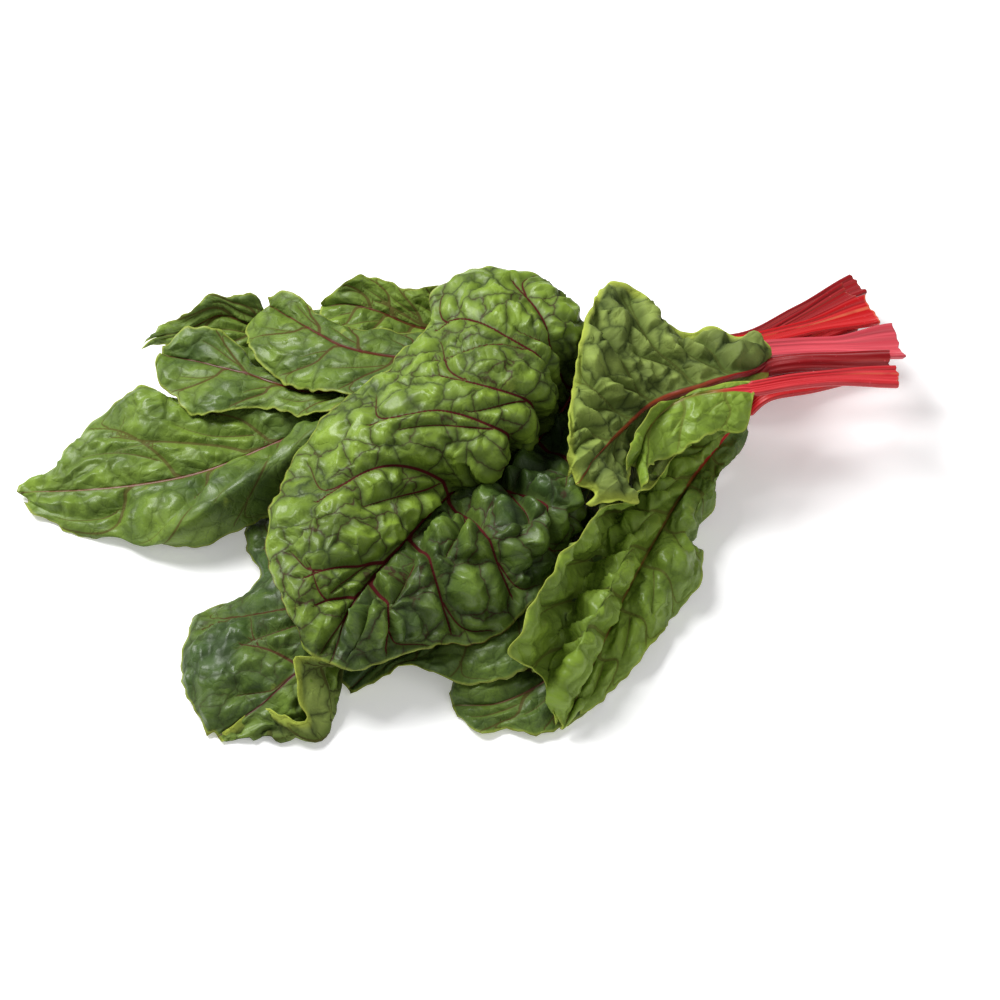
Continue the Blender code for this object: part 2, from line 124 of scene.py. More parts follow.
# The margin's small waves and notches and the uneven cut, in millimetres.
RUFFLE_HEIGHT = 0.9
RUFFLE_REACH = 8.0
NOTCH_DEPTH = 0.7
NOTCH_REACH = 3.0
CUT_UNEVEN = 0.6
THIN_RIM = 0.45
THIN_REACH = 4.0

# Their waves, each as (length for each radian, how far a leaf's own phase turns it, height):
# lengths in millimetres along the margin, and in half widths across the cut.
RUFFLE_WAVES = ((4.6, 1.0, 1.0), (2.9, 1.3, 0.7), (7.3, 2.1, 0.5))
SHORT_NOTCH = ((2.1, 3.1, 1.0),)
LONG_NOTCH = ((5.7, 1.0, 1.0),)
FINE_NOTCH = ((1.3, 1.0, 0.5),)
CUT_WAVES = ((1 / 4, 1.9, 1.0), (1 / 11, 1.0, 0.5))
LEAF_TURN = 1.7
SIDE_TURN = 2.3
RUFFLE_START = 1.1

# Side veins: where they start along the midrib, their way outwards as (share ahead, share
# across, bend), how far their forks spread, and their half widths in millimetres.
VEIN_FIRST = 0.07
VEIN_SPAN = 0.80
VEIN_STAGGER = 0.35
VEIN_PATH = ((0.0, 0.0, 0), (0.03, 0.3, 1), (0.07, 0.6, -1), (0.14, 0.92, 0))
VEIN_BEND = 0.012
VEIN_SAMPLES = 160
FORK_RISE = 0.055
FORK_CHANGE = 0.02
FORK_AHEAD = (0.45, 1.5)
FORK_BACK = (0.4, 0.9)
FORK_OUT = 0.1
LAST_PLACE = 0.97
RIB_HALF_WIDTH = ((0.0, 3.4), (0.12, 1.3), (0.6, 0.8), (1.0, 0.2))
STEM_VEIN = (0.95, 0.25)
TWIG_VEIN = (0.38, 0.05)
TWIG_START = 0.1

# What the stalk stores as its distance from veins and margin, and from the midrib's edge.
FAR = 40.0
WITHIN_RIB = -3.0

# How far the blade's paleness, partly painted light and shade, blends from one half into the
# other.
TONE_BLEND = 0.3

# The pattern of the relief: how strongly noise bends it, and how far in millimetres each
# part of it takes to rise beside a vein or a crease.
DRIFT = (14.0, 14.0, 14.0)
DRIFT_SCALE = 0.05
SHAKE = (2.2, 2.2, 2.2)
SHAKE_SCALE = 0.35
FOLD_SCALE = 0.09
CLEAR_REACH = 2.6
DOME_REACH = 6.0
LUMP_REACH = 3.0
PILLOW_REACH = 2.2
PUCKER_REACH = 1.1
DOME_SLOPE = 1.35

# The relief itself: the share of domes by which the blade sinks, how pillows grow on lumps,
# the distances in millimetres over which it starts, and the stalk's grooves.
SINK = 0.5
PILLOW_FLAT = 0.6
PILLOW_ON_LUMP = 0.6
FOLD_ANYWAY = 0.5
BESIDE_RIB = 7.0
INSIDE_RIM = 6.0
RIDGE_EDGE = (1.2, -0.4)
RIDGE_LIMIT = (-1.0, 0.5)
GROOVE_EDGE = (0.2, -1.5)
GROOVES = 5.0

# The widest step between the mesh's points, in millimetres.  Between two points, the stored
# distance to a vein is wrong by no more than this.
MESH_STEP = 1.3

# Paint: where it starts and where it is full, in millimetres from the edge of a vein, the
# midrib, a crease or the rim.
VEIN_PAINT = (0.25, -0.15)
RIB_PAINT = (0.35, -0.35)
HALO_PAINT = (2.2, 0.2)
THREAD_PAINT = (0.32, 0.05)
RIM_PAINT = (1.8, 0.1)
UNDER_RIM_PAINT = (6.0, 2.0)
BLUSH_PAINT = (0.9, 0.2)

# How fine the noise in the paint is, for each millimetre, and along and across a stalk.
BLOTCH_SCALE = 0.035
DRY_SCALE = 0.11
FLECK_SCALE = 0.9
SPECKLE_SCALE = 1.3
PORE_SCALE = 2.4
STRIPE_SCALE = (1.5, 5.0)

# The orange line along a scarlet stalk's ridge, partly its own colour and partly a painted
# highlight, as a place across it and half widths.
ORANGE_GLINT_PLACE = -0.3
ORANGE_GLINT_PAINT = (0.12, 0.02)

# The camera, in metres, degrees and millimetres, the floor and the light.
CAMERA_AIM = (0.0175, -0.0210, 0.0297)
CAMERA_DISTANCE = 1.108
CAMERA_ELEVATION = 50.0
CAMERA_LENS = 85.0
CAMERA_SENSOR = 36.0
CAMERA_CLIP = 0.05
FLOOR_HALF = 6.0
FLOOR_GLOW = 0.3
SKY_STRENGTH = 0.22
LAMPS = (("key", (-0.75, 0.5, 1.15), 0.7, 30.0), ("fill", (0.9, -0.8, 1.1), 1.2, 6.0))


class Leaf:
    """One leaf as lines of points in millimetres, from the cut end to the tip.

    widths are those of the stalk at its cut end and at the blade.  waves holds, for the left
    and the right margin, how many times it rises and falls and how far.
    """

    def __init__(self, name, widths, stalk, spine, left, right, waves, turned=False):
        self.name = name
        self.widths = widths
        self.stalk = stalk
        self.spine = spine
        self.left = left
        self.right = right
        self.waves = waves
        self.turned = turned


# The leaves in the order in which they are laid down.  "left" is the left-hand side of a leaf
# seen from above with its tip pointing away; a turned leaf shows its underside.
LEAVES = [
    Leaf(
        "leaf_front_low",
        widths=(10, 6),
        stalk=[(196, 119, 6), (140, 98, 5), (116, 78, 6), (97, 50, 8)],
        spine=[(89, 31, 8), (73, -17, 10), (57, -57, 12), (43, -84, 12), (30, -94, 9),
               (12, -100, 6), (-6, -98, 3)],
        left=[[(101, 20, 6), (92, -25, 4), (77, -60, 3), (64, -86, 2), (51, -105, 2),
               (34, -115, 2), (18, -112, 2), (7, -113, 2), (-4, -103, 2)]],
        right=[[(74, 26, 10), (49, -16, 12), (25, -52, 13), (7, -73, 11), (-4, -85, 8),
                (-8, -92, 5)]],
        waves=((2.5, 2.5), (2.0, 3.0)),
    ),
    Leaf(
        "leaf_center_low",
        widths=(10, 6),
        stalk=[(192, 123, 14), (139, 97, 12), (114, 87, 11), (90, 72, 11)],
        spine=[(75, 61, 11), (45, 20, 13), (16, -18, 16), (-7, -48, 15), (-25, -68, 12),
               (-41, -81, 8), (-53, -89, 3)],
        left=[[(84, 39, 14), (72, -8, 17), (57, -45, 20), (44, -73, 19), (27, -90, 17),
               (-2, -93, 15), (-16, -87, 14), (-26, -83, 12), (-40, -88, 7), (-52, -92, 4)]],
        right=[[(60, 67, 12), (26, 39, 14), (-8, 6, 16), (-31, -25, 16), (-49, -51, 12),
                (-57, -71, 8), (-58, -84, 3)]],
        waves=((3.5, 3.0), (2.0, 2.0)),
    ),
    Leaf(
        "leaf_front_left",
        widths=(10, 6),
        stalk=[(194, 125, 22), (138, 98, 18), (109, 91, 17), (83, 80, 16)],
        spine=[(66, 67, 19), (26, 26, 22), (-12, -20, 25), (-43, -58, 25), (-65, -84, 21),
               (-76, -92, 18), (-91, -103, 10), (-103, -110, 5), (-110, -115, 2)],
        left=[[(65, 38, 19), (25, -16, 22), (-12, -57, 19), (-36, -75, 16), (-55, -78, 12),
               (-56, -87, 9), (-58, -103, 6), (-66, -114, 3), (-92, -115, 2), (-108, -117, 1)],
              [(60, 44, 21), (23, -12, 24), (-11, -56, 24), (-42, -83, 26), (-64, -90, 28),
               (-76, -90, 26), (-74, -102, 21), (-70, -114, 15), (-92, -104, 9),
               (-108, -114, 4)]],
        right=[[(46, 69, 21), (6, 41, 26), (-31, 1, 30), (-58, -27, 29), (-75, -50, 26),
                (-92, -66, 22), (-105, -80, 16), (-112, -100, 9), (-112, -113, 3)],
               [(36, 73, 20), (-3, 49, 24), (-41, 24, 24), (-74, 13, 20), (-101, 7, 8),
                (-105, -10, 4), (-96, -29, 6), (-117, -43, 7), (-126, -45, 5), (-128, -61, 4),
                (-130, -81, 3), (-121, -102, 3), (-115, -114, 2)]],
        waves=((3.0, 1.5), (3.5, 4.0)),
    ),
    Leaf(
        "leaf_far_left",
        widths=(12, 8),
        stalk=[(206, 114, 18), (168, 101, 21), (136, 88, 23), (96, 89, 24), (46, 94, 25)],
        spine=[(16, 92, 27), (-23, 75, 28), (-62, 55, 28), (-90, 41, 25), (-126, 27, 19),
               (-153, 23, 15), (-185, 23, 10), (-218, 26, 5)],
        left=[[(11, 79, 36), (-22, 59, 46), (-60, 41, 46), (-88, 18, 41), (-110, 3, 35),
               (-136, -10, 22), (-151, -10, 10), (-170, -1, 7), (-192, 8, 5), (-206, 17, 4),
               (-213, 22, 4)],
              [(11, 67, 30), (-23, 48, 26), (-60, 21, 24), (-87, 5, 20), (-108, -1, 10),
               (-123, -6, 4), (-135, -8, 2), (-149, -3, 2), (-168, 1, 2), (-187, 2, 1),
               (-200, 10, 2), (-209, 14, 3), (-215, 22, 4)]],
        right=[[(11, 100, 30), (-34, 102, 32), (-73, 90, 30), (-107, 75, 28), (-131, 70, 26),
                (-155, 74, 24), (-171, 74, 18), (-183, 69, 14), (-193, 57, 10), (-199, 42, 7),
                (-207, 38, 5), (-214, 35, 5), (-217, 30, 5)]],
        waves=((3.0, 1.5), (4.5, 4.5)),
    ),
    Leaf(
        "leaf_back_left",
        widths=(10, 6),
        stalk=[(189, 145, 13), (139, 111, 12), (100, 117, 10), (60, 125, 9), (16, 130, 9)],
        spine=[(6, 130, 10), (-35, 126, 14), (-75, 124, 18), (-104, 120, 22), (-125, 125, 26),
               (-141, 121, 20), (-159, 123, 12)],
        left=[[(1, 116, 8), (-35, 103, 8), (-75, 97, 8), (-104, 97, 9), (-122, 104, 12),
               (-138, 115, 14), (-154, 120, 10), (-167, 122, 5)]],
        right=[[(1, 139, 12), (-35, 144, 14), (-76, 140, 18), (-103, 127, 24), (-109, 130, 32),
                (-121, 129, 36), (-130, 130, 40), (-136, 126, 36), (-145, 124, 24),
                (-157, 127, 16), (-167, 123, 7)]],
        waves=((3.0, 3.0), (3.5, 4.0)),
    ),
    Leaf(
        "leaf_back_dark",
        widths=(14, 7),
        stalk=[(200, 153, 20), (169, 136, 18), (140, 119, 16), (105, 115, 18), (66, 118, 21),
               (39, 117, 27)],
        spine=[(26, 114, 30), (1, 111, 32), (-23, 108, 34), (-45, 114, 40), (-61, 119, 40),
               (-73, 122, 34)],
        left=[[(21, 98, 32), (-4, 86, 35), (-33, 83, 36), (-57, 90, 38), (-74, 108, 34)]],
        right=[[(21, 129, 34), (1, 132, 38), (-14, 130, 40), (-29, 125, 44), (-43, 130, 50),
                (-52, 129, 50), (-62, 126, 46), (-74, 122, 38)]],
        waves=((2.0, 2.0), (2.5, 3.0)),
    ),
    Leaf(
        "leaf_left_upper",
        widths=(12, 7),
        stalk=[(193, 140, 28), (163, 119, 27), (137, 103, 25), (85, 95, 31), (26, 78, 44)],
        spine=[(-8, 70, 47), (-47, 63, 40), (-76, 62, 37), (-105, 74, 36), (-129, 86, 32),
               (-153, 98, 26)],
        left=[[(-13, 51, 50), (-46, 40, 50), (-76, 43, 41), (-95, 54, 37), (-111, 53, 34),
               (-127, 51, 30), (-135, 56, 29), (-142, 66, 30), (-151, 75, 30), (-154, 87, 31)]],
        right=[[(-14, 82, 42), (-48, 81, 47), (-77, 85, 37), (-101, 85, 34), (-117, 100, 36),
                (-129, 104, 38), (-141, 104, 36), (-152, 100, 30)]],
        waves=((3.0, 3.0), (2.5, 3.0)),
    ),
    Leaf(
        "leaf_back_mid",
        widths=(19, 8),
        stalk=[(203, 122, 33), (169, 110, 33), (136, 100, 33), (88, 87, 40), (40, 83, 48)],
        spine=[(11, 76, 51), (-18, 69, 52), (-39, 73, 51), (-59, 79, 51), (-76, 96, 45),
               (-90, 113, 38), (-100, 125, 33)],
        left=[[(6, 61, 50), (-22, 44, 56), (-46, 45, 50), (-68, 52, 47), (-85, 62, 44),
               (-100, 77, 41), (-108, 93, 37), (-110, 108, 34), (-105, 118, 33)]],
        right=[[(6, 98, 44), (-19, 95, 46), (-40, 92, 46), (-57, 99, 46), (-74, 110, 44),
                (-85, 123, 40), (-92, 127, 41), (-101, 128, 36)]],
        waves=((2.5, 3.0), (2.5, 3.5)),
    ),
    Leaf(
        "leaf_center_large",
        widths=(22, 10),
        stalk=[(213, 98, 35), (188, 94, 37), (164, 93, 37), (135, 87, 40), (107, 77, 45),
               (81, 73, 52)],
        spine=[(67, 75, 50), (53, 63, 39), (42, 48, 31), (25, 27, 30), (-2, 4, 36),
               (-32, -40, 40), (-51, -72, 40), (-59, -95, 30)],
        left=[[(69, 53, 52), (62, 24, 52), (46, -9, 54), (24, -34, 54), (-4, -45, 52),
               (-27, -69, 49), (-44, -87, 42), (-54, -97, 30)],
              [(72, 76, 45), (69, 41, 41), (57, -6, 36), (43, -38, 31), (30, -63, 28),
               (12, -76, 26), (-12, -82, 26), (-33, -91, 26), (-49, -96, 27)]],
        right=[[(57, 72, 60), (43, 64, 70), (37, 38, 68), (22, 11, 66), (10, -1, 60),
                (-7, 0, 52), (-32, -30, 48), (-54, -65, 46), (-64, -94, 32)],
               [(50, 85, 69), (36, 83, 78), (20, 64, 78), (6, 38, 78), (-16, 17, 74),
                (-44, 1, 64), (-61, -33, 55), (-69, -62, 50), (-68, -92, 33)],
               [(48, 84, 61), (45, 98, 67), (36, 107, 72), (18, 112, 73), (1, 112, 69),
                (-15, 104, 64), (-20, 83, 62), (-33, 67, 60), (-39, 56, 57), (-56, 43, 54),
                (-70, 29, 50), (-79, 18, 47), (-86, -2, 43), (-91, -34, 42), (-86, -56, 41),
                (-78, -74, 38), (-72, -86, 30)]],
        waves=((3.5, 4.0), (4.0, 2.5)),
    ),
    Leaf(
        "leaf_front_right",
        widths=(13, 8),
        stalk=[(195, 76, 42), (168, 63, 43), (143, 55, 44)],
        spine=[(133, 51, 35), (120, 40, 22), (104, 15, 20), (89, -15, 20), (74, -46, 18),
               (61, -77, 15), (50, -100, 10), (44, -114, 7)],
        left=[[(131, 47, 20), (120, 22, 22), (106, -7, 24), (96, -34, 23), (85, -56, 18),
               (70, -80, 12), (52, -104, 9)],
              [(136, 59, 14), (129, 47, 10), (121, 28, 12), (118, 14, 10), (106, -6, 8),
               (112, -18, 7), (108, -35, 7), (95, -50, 7), (87, -68, 6), (71, -86, 5),
               (53, -105, 4)]],
        right=[[(125, 42, 31), (107, 26, 28), (86, -8, 32), (72, -40, 35), (62, -66, 37),
                (54, -81, 36), (49, -92, 30), (44, -102, 20), (42, -110, 10)],
               [(120, 42, 32), (90, 31, 26), (70, -9, 26), (58, -33, 22), (48, -59, 21),
                (41, -78, 22), (38, -90, 19), (39, -102, 13), (42, -110, 9)],
               [(106, 32, 36), (81, -9, 44), (62, -24, 50), (53, -37, 53), (42, -55, 53),
                (32, -75, 51), (25, -90, 47), (21, -97, 42), (34, -98, 25), (40, -105, 15),
                (40, -113, 9)]],
        waves=((4.0, 6.0), (3.0, 2.0)),
    ),
    Leaf(
        "leaf_turned_over",
        widths=(13, 9),
        stalk=[(203, 72, 47), (185, 70, 49), (163, 70, 49)],
        spine=[(144, 70, 45), (129, 60, 49), (112, 55, 48), (90, 48, 46), (71, 22, 53),
               (59, -1, 59), (51, -12, 55)],
        left=[[(136, 71, 52), (112, 75, 53), (90, 73, 56), (73, 58, 62), (60, 32, 64),
               (53, 8, 64), (49, -7, 57)],
              [(147, 79, 49), (140, 86, 51), (131, 85, 52), (120, 92, 54), (108, 89, 52),
               (92, 98, 52), (85, 110, 57), (69, 114, 62), (60, 91, 66), (53, 60, 68),
               (49, 33, 64), (47, 2, 63), (47, -8, 55)]],
        right=[[(129, 55, 48), (112, 52, 44), (93, 47, 41), (74, 24, 49), (65, 0, 57),
                (64, -13, 56), (59, -15, 53)],
               [(139, 60, 45), (121, 48, 46), (107, 50, 36), (94, 43, 33), (86, 32, 33),
                (79, 15, 37), (75, -8, 49), (80, -17, 50), (67, -21, 53), (55, -23, 55)]],
        waves=((3.5, 3.0), (2.0, 2.0)),
        turned=True,
    ),
    Leaf(
        "leaf_front_small",
        widths=(11, 7),
        stalk=[(204, 50, 62), (180, 50, 62), (155, 48, 61)],
        spine=[(135, 46, 58), (121, 44, 58), (108, 44, 55), (97, 40, 52), (87, 29, 50),
               (79, 7, 46)],
        left=[[(135, 39, 54), (131, 27, 50), (119, 27, 50), (111, 22, 45), (99, 17, 44),
               (88, 13, 44), (84, -7, 52), (81, -8, 47)]],
        right=[[(132, 51, 57), (118, 49, 56), (106, 47, 55), (92, 39, 54), (83, 26, 56),
                (75, 7, 56), (76, -1, 52)]],
        waves=((2.5, 3.0), (2.0, 2.5)),
    ),
]


class Look:
    """How finely a leaf is made, and how it differs from the others.

    rows and columns count the steps along the blade and across one half of it.  tone holds how
    pale the left half is at its base and tip, then the right half, from 0 to 1, partly the leaf's
    own paleness and partly painted light and shade.  redness goes from 0 to 1 for the side veins
    and also sets how strongly shade is painted into the creases, and stalk from 0, dark red,
    through 0.5, scarlet, to 1, pink.
    puff, swell and lump are lines across the blade, from the right margin at -1 to the left at
    1: how much the pillows rise, how many millimetres the blade domes up between its side
    veins, and how many more it rises in the middle of each pillow.
    veins are lines of (share along the blade, share across it from -1 to 1) from the midrib out.
    side_veins is how many more grow on the left and on the right.
    """

    def __init__(self, rows, columns, tone, redness, stalk, puff=((0, 1.0),), swell=((0, 2.0),),
                 lump=((0, 0.0),), veins=(), side_veins=(6, 6)):
        self.rows = rows
        self.columns = columns
        self.tone = tone
        self.redness = redness
        self.stalk = stalk
        self.puff = puff
        self.swell = swell
        self.lump = lump
        self.veins = veins
        self.side_veins = side_veins


# A look's tone is partly painted light and shade: lower on halves that lie in shadow, higher on
# halves that the lamps leave too dark.
LOOKS = {
    "leaf_front_low": Look(80, 34, (0.35, 0.35, 0.3, 0.3), 0.3, 0.2, puff=((0, 0.5),)),
    "leaf_center_low": Look(90, 40, (0.2, 0.2, 0.15, 0.15), 0.2, 0.2, puff=((0, 0.5),)),
    "leaf_front_left": Look(
        140, 62, (0.3, 0.7, 0.2, 0.3), 0.6, 0.3,
        puff=((-1, 0.3), (0, 0.6), (1, 0.3)), swell=((-1, 2.5), (0, 4.0), (1, 1.5)),
        lump=((-1, 1.0), (0, 2.0), (1, 0.0)),
        veins=[[(0.80, 0.0), (0.82, -0.38), (0.84, -0.6)]],
        side_veins=(5, 4)),
    "leaf_far_left": Look(
        150, 66, (0.35, 0.5, 0.35, 0.6), 0.3, 0.75,
        puff=((-1, 0.5), (0, 0.3), (0.4, 0.2), (0.55, -0.4), (1, -0.4)),
        swell=((-1, 1.5), (-0.1, 3.0), (0.1, 5.0), (0.4, 5.0), (0.55, 0.3), (1, 0.3)),
        lump=((-0.2, 0.0), (0.1, 2.5), (0.4, 2.5), (0.5, 0.0)),
        veins=[[(0.50, 0.0), (0.60, -0.38), (0.72, -0.50), (0.78, -0.65)]],
        side_veins=(5, 4)),
    "leaf_back_left": Look(90, 34, (0.45, 0.5, 0.4, 0.4), 0.3, 0.1, puff=((0, 0.7),)),
    "leaf_back_dark": Look(
        100, 42, (0.75, 0.75, 0.7, 0.8), 0.4, 0.15, puff=((0, 0.3),), swell=((0, 3.0),),
        veins=[[(0.30, 0.0), (0.48, -0.15), (0.60, -0.30), (0.72, -0.30)]]),
    "leaf_left_upper": Look(
        110, 50, (0.45, 0.5, 0.45, 0.5), 0.4, 0.2, puff=((0, 0.0),), side_veins=(4, 4)),
    "leaf_back_mid": Look(
        120, 54, (0.4, 0.6, 0.35, 0.5), 0.45, 0.5, puff=((0, 0.1),), side_veins=(4, 4)),
    "leaf_center_large": Look(
        220, 84, (0.15, 0.45, 1.0, 0.75), 1.0, 0.95,
        puff=((-1, 0.6), (-0.3, 0.9), (0, 1.0), (0.2, 0.8), (1, 0.8)),
        swell=((-1, 1.0), (-0.6, 3.0), (-0.35, 6.0), (-0.1, 5.0), (0.3, 2.0), (1, 1.0)),
        lump=((-1, 0.5), (-0.5, 1.5), (-0.1, 1.5), (0.15, 8.0), (0.8, 9.0), (1, 4.0)),
        veins=[[(0.15, 0.0), (0.18, -0.30), (0.23, -0.60), (0.32, -0.88), (0.37, -0.95)],
               [(0.24, 0.0), (0.26, -0.25), (0.30, -0.47), (0.36, -0.65), (0.42, -0.82)],
               [(0.34, 0.0), (0.36, -0.30), (0.40, -0.53), (0.47, -0.72), (0.57, -0.82)],
               [(0.50, 0.0), (0.54, -0.35), (0.60, -0.62), (0.73, -0.82)],
               [(0.70, 0.0), (0.76, -0.25), (0.82, -0.53), (0.87, -0.76)],
               [(0.84, 0.0), (0.88, -0.45), (0.91, -0.65)],
               [(0.10, 0.0), (0.14, -0.40), (0.17, -0.70), (0.20, -0.92)]],
        side_veins=(6, 0)),
    "leaf_front_right": Look(
        140, 66, (0.5, 0.8, 0.8, 0.85), 0.15, 0.45,
        puff=((-1, 0.8), (0, 0.8), (1, 0.3)), swell=((-1, 3.0), (0, 3.0), (1, 1.0)),
        lump=((-1, 2.0), (0, 2.0), (1, 0.0)), side_veins=(6, 6)),
    "leaf_turned_over": Look(
        140, 66, (0.55, 1.0, 0.5, 0.7), 0.3, 0.12,
        puff=((-1, 0.6), (0, 0.9), (1, 0.9)), swell=((-1, 1.5), (0, 3.0), (1, 3.5)),
        lump=((-1, 2.0), (0, 5.0), (1, 5.0)), side_veins=(5, 4)),
    "leaf_front_small": Look(
        100, 44, (0.8, 0.9, 0.8, 0.9), 0.05, 0.6, puff=((0, 0.1),), side_veins=(3, 0)),
}


def display_colour(red, green, blue):
    """A colour as a screen shows it, from 0 to 255, as the linear one that materials take."""
    shares = [channel / 255 for channel in (red, green, blue)]
    return tuple(s / 12.92 if s <= 0.04045 else ((s + 0.055) / 1.055) ** 2.4 for s in shares)


def colour_property(name, description, colour):
    """A colour that a user can change."""
    return FloatVectorProperty(
        name=name, description=description, subtype="COLOR", size=3, min=0.0, max=1.0,
        default=display_colour(*colour))


def size_property(name, description, default):
    """A length in metres that a user can change."""
    return FloatProperty(name=name, description=description, default=default, unit="LENGTH")


class ChardSizes(bpy.types.PropertyGroup):
    """Sizes of the relief of the leaves and stalks."""

    pillow_size: size_property("Pillow Size", "Width of the large pillows between veins", 0.0150)
    pillow_rise: size_property("Pillow Rise", "Height of the large pillows", 0.0015)
    pucker_size: size_property("Pucker Size", "Width of the small puckers on them", 0.0065)
    pucker_rise: size_property("Pucker Rise", "Height of the small puckers", 0.0003)
    wrinkle_rise: size_property("Wrinkle Rise", "Height of the uneven waves", 0.0024)
    ridge_rise: size_property("Ridge Rise", "How far veins stand out under a leaf", 0.0008)
    groove_depth: size_property("Groove Depth", "Depth of the grooves along a stalk", 0.0002)


class ChardColours(bpy.types.PropertyGroup):
    """Colours of the leaves, the stalks and the floor."""

    deep_green: colour_property("Deep Green", "Old and shaded leaf", (58, 82, 34))
    young_green: colour_property("Young Green", "Pale, sunlit leaf", (130, 158, 50))
    # Painted shade in the creases between pillows, and the darkest green of blotches below and of
    # the fine threads.
    dark_green_and_crease_shade: colour_property("Crease Green", "Creases between pillows", (30, 42, 18))
    under_green: colour_property("Under Green", "The matte lower side", (152, 162, 94))
    # The yellowish rim, partly its own colour and partly a painted glow of light through the thin
    # edge; also dry patches.
    yellow_green_and_glow: colour_property("Margin Green", "The yellowish rim", (168, 182, 70))
    vein_red: colour_property("Vein Red", "Veins", (72, 6, 8))
    stalk_dark: colour_property("Stalk Dark", "The darkest stalks", (112, 6, 14))
    stalk_scarlet: colour_property("Stalk Scarlet", "Middle stalks", (206, 12, 18))
    stalk_pink: colour_property("Stalk Pink", "The pinkest stalks", (228, 84, 98))
    # Fresh cuts, and the line along a scarlet stalk's ridge, which is partly a painted highlight.
    cut_and_glint_orange: colour_property("Cut Orange", "Fresh cuts", (236, 120, 84))
    floor: colour_property("Floor", "The plain floor", (248, 248, 248))


def unit(vectors):
    """Vectors scaled to length one."""
    return vectors / np.maximum(np.linalg.norm(vectors, axis=-1, keepdims=True), 1e-9)


def smooth_step(values):
    """An ease from 0 to 1."""
    values = np.clip(values, 0.0, 1.0)
    return values * values * (3.0 - 2.0 * values)


def hermite(knots, values, at):
    """Values on the smooth curve that passes through the given ones at the knots."""
    knots = np.asarray(knots, float)
    steps = np.diff(knots).reshape((-1,) + (1,) * (values.ndim - 1))
    slopes = np.diff(values, axis=0) / steps
    tangents = np.empty_like(values)
    tangents[0] = slopes[0]
    tangents[-1] = slopes[-1]
    tangents[1:-1] = (slopes[:-1] * steps[1:] + slopes[1:] * steps[:-1]) / (steps[1:] + steps[:-1])
    index = np.clip(np.searchsorted(knots, at, side="right") - 1, 0, len(knots) - 2)
    step = (knots[index + 1] - knots[index]).reshape((-1,) + (1,) * (values.ndim - 1))
    t = (np.asarray(at) - knots[index]).reshape(step.shape) / step
    return (
        values[index] * (1 + 2 * t) * (1 - t) ** 2
        + tangents[index] * step * t * (1 - t) ** 2
        + values[index + 1] * t * t * (3 - 2 * t)
        + tangents[index + 1] * step * t * t * (t - 1)
    )


def line_through(points, at):
    """Places at the given shares of the length of a smooth line through the points."""
    points = np.asarray(points, float)
    chords = np.sqrt(np.linalg.norm(np.diff(points, axis=0), axis=1))
    knots = np.concatenate([[0.0], np.cumsum(chords)])
    fine = hermite(knots, points, np.linspace(0.0, knots[-1], 200))
    run = np.concatenate([[0.0], np.cumsum(np.linalg.norm(np.diff(fine, axis=0), axis=1))])
    run /= run[-1]
    return np.stack([np.interp(at, run, line) for line in fine.T], axis=1)


def side_of(tangents, turned):
    """The direction to a leaf's left, level with the ground."""
    flat = np.stack([-tangents[:, 1], tangents[:, 0], np.zeros(len(tangents))], axis=1)
    return unit(-flat if turned else flat)


def stalk_rows(leaf, at, columns):
    """The upper face of the stalk, cupped along its middle, and its thickness."""
    whole = leaf.stalk + [leaf.spine[0], leaf.spine[1]]
    lengths = np.linalg.norm(np.diff(np.asarray(whole, float), axis=0), axis=1)
    share = lengths[:-1].sum() / lengths.sum()
    centres = line_through(whole, at * share)
    ahead = line_through(whole, np.minimum(at * share + HEADING_STEP, 1.0))
    behind = line_through(whole, np.maximum(at * share - HEADING_STEP, 0.0))
    tangents = unit(ahead - behind)
    side = side_of(tangents, leaf.turned)
    up = np.cross(tangents, side)
    ease = smooth_step(at * lengths[:-1].sum() / STALK_TAPER)
    width = leaf.widths[0] + (leaf.widths[1] - leaf.widths[0]) * ease
    reach = width[:, None] / 2 * columns[None, :]
    cup = width[:, None] * STALK_CUP * (columns[None, :] ** 2 - CUP_LEVEL)
    points = centres[:, None] + side[:, None] * reach[..., None] + up[:, None] * cup[..., None]
    depth = STALK_THICKNESS * (width[:, None] / leaf.widths[0]) ** 0.5
    thickness = depth * (1 - (1 - STALK_EDGE) * columns[None, :] ** 2)
    return points, thickness


def places_across(width, at, columns):
    """Where the columns of one half lie, with a fixed share of them over the midrib."""
    midrib = MIDRIB_HALF_WIDTH[0] + (MIDRIB_HALF_WIDTH[1] - MIDRIB_HALF_WIDTH[0]) * at
    first = np.clip(midrib / np.maximum(width, 1.0), LEAST_MIDRIB, MIDRIB_COLUMN)[:, None]
    inner = columns / MIDRIB_COLUMN * first
    outer = first + (1 - first) * (columns - MIDRIB_COLUMN) / (1 - MIDRIB_COLUMN)
    return np.where(columns < MIDRIB_COLUMN, inner, outer)


def blade_half(leaf, lines, sign, at, columns):
    """One side of the blade, from the midrib out to the margin."""
    spine = line_through(leaf.spine, at)
    start = np.asarray(leaf.spine[0], float)
    heading = unit(np.asarray([leaf.spine[1]], float) - start)
    edge = start + side_of(heading, leaf.turned)[0] * sign * leaf.widths[1] / 2
    edge[2] += leaf.widths[1] * STALK_CUP * (1 - CUP_LEVEL) * (-1 if leaf.turned else 1)
    rails = [spine]
    for index, line in enumerate(lines):
        first = start + (edge - start) * (index + 1) / len(lines)
        rails.append(line_through([tuple(first)] + list(line), at))
    rails = np.stack(rails)
    width = np.linalg.norm(np.diff(rails, axis=0), axis=2).sum(axis=0)
    places = places_across(width, at, columns)
    knots = np.linspace(0.0, 1.0, len(rails))
    half = np.stack([hermite(knots, rails[:, row], places[row]) for row in range(len(at))])
    if len(lines) == 1:
        half[..., 2] += ARCH * width[:, None] * np.sin(math.pi * places)
    count, height = leaf.waves[0 if sign > 0 else 1]
    ends = smooth_step(WAVE_EASE * at) * smooth_step(WAVE_EASE * (1.0 - at))
    rise = height * np.sin(2 * math.pi * count * at + WAVE_START) * ends
    half[..., 2] += rise[:, None] * places ** 2
    return half


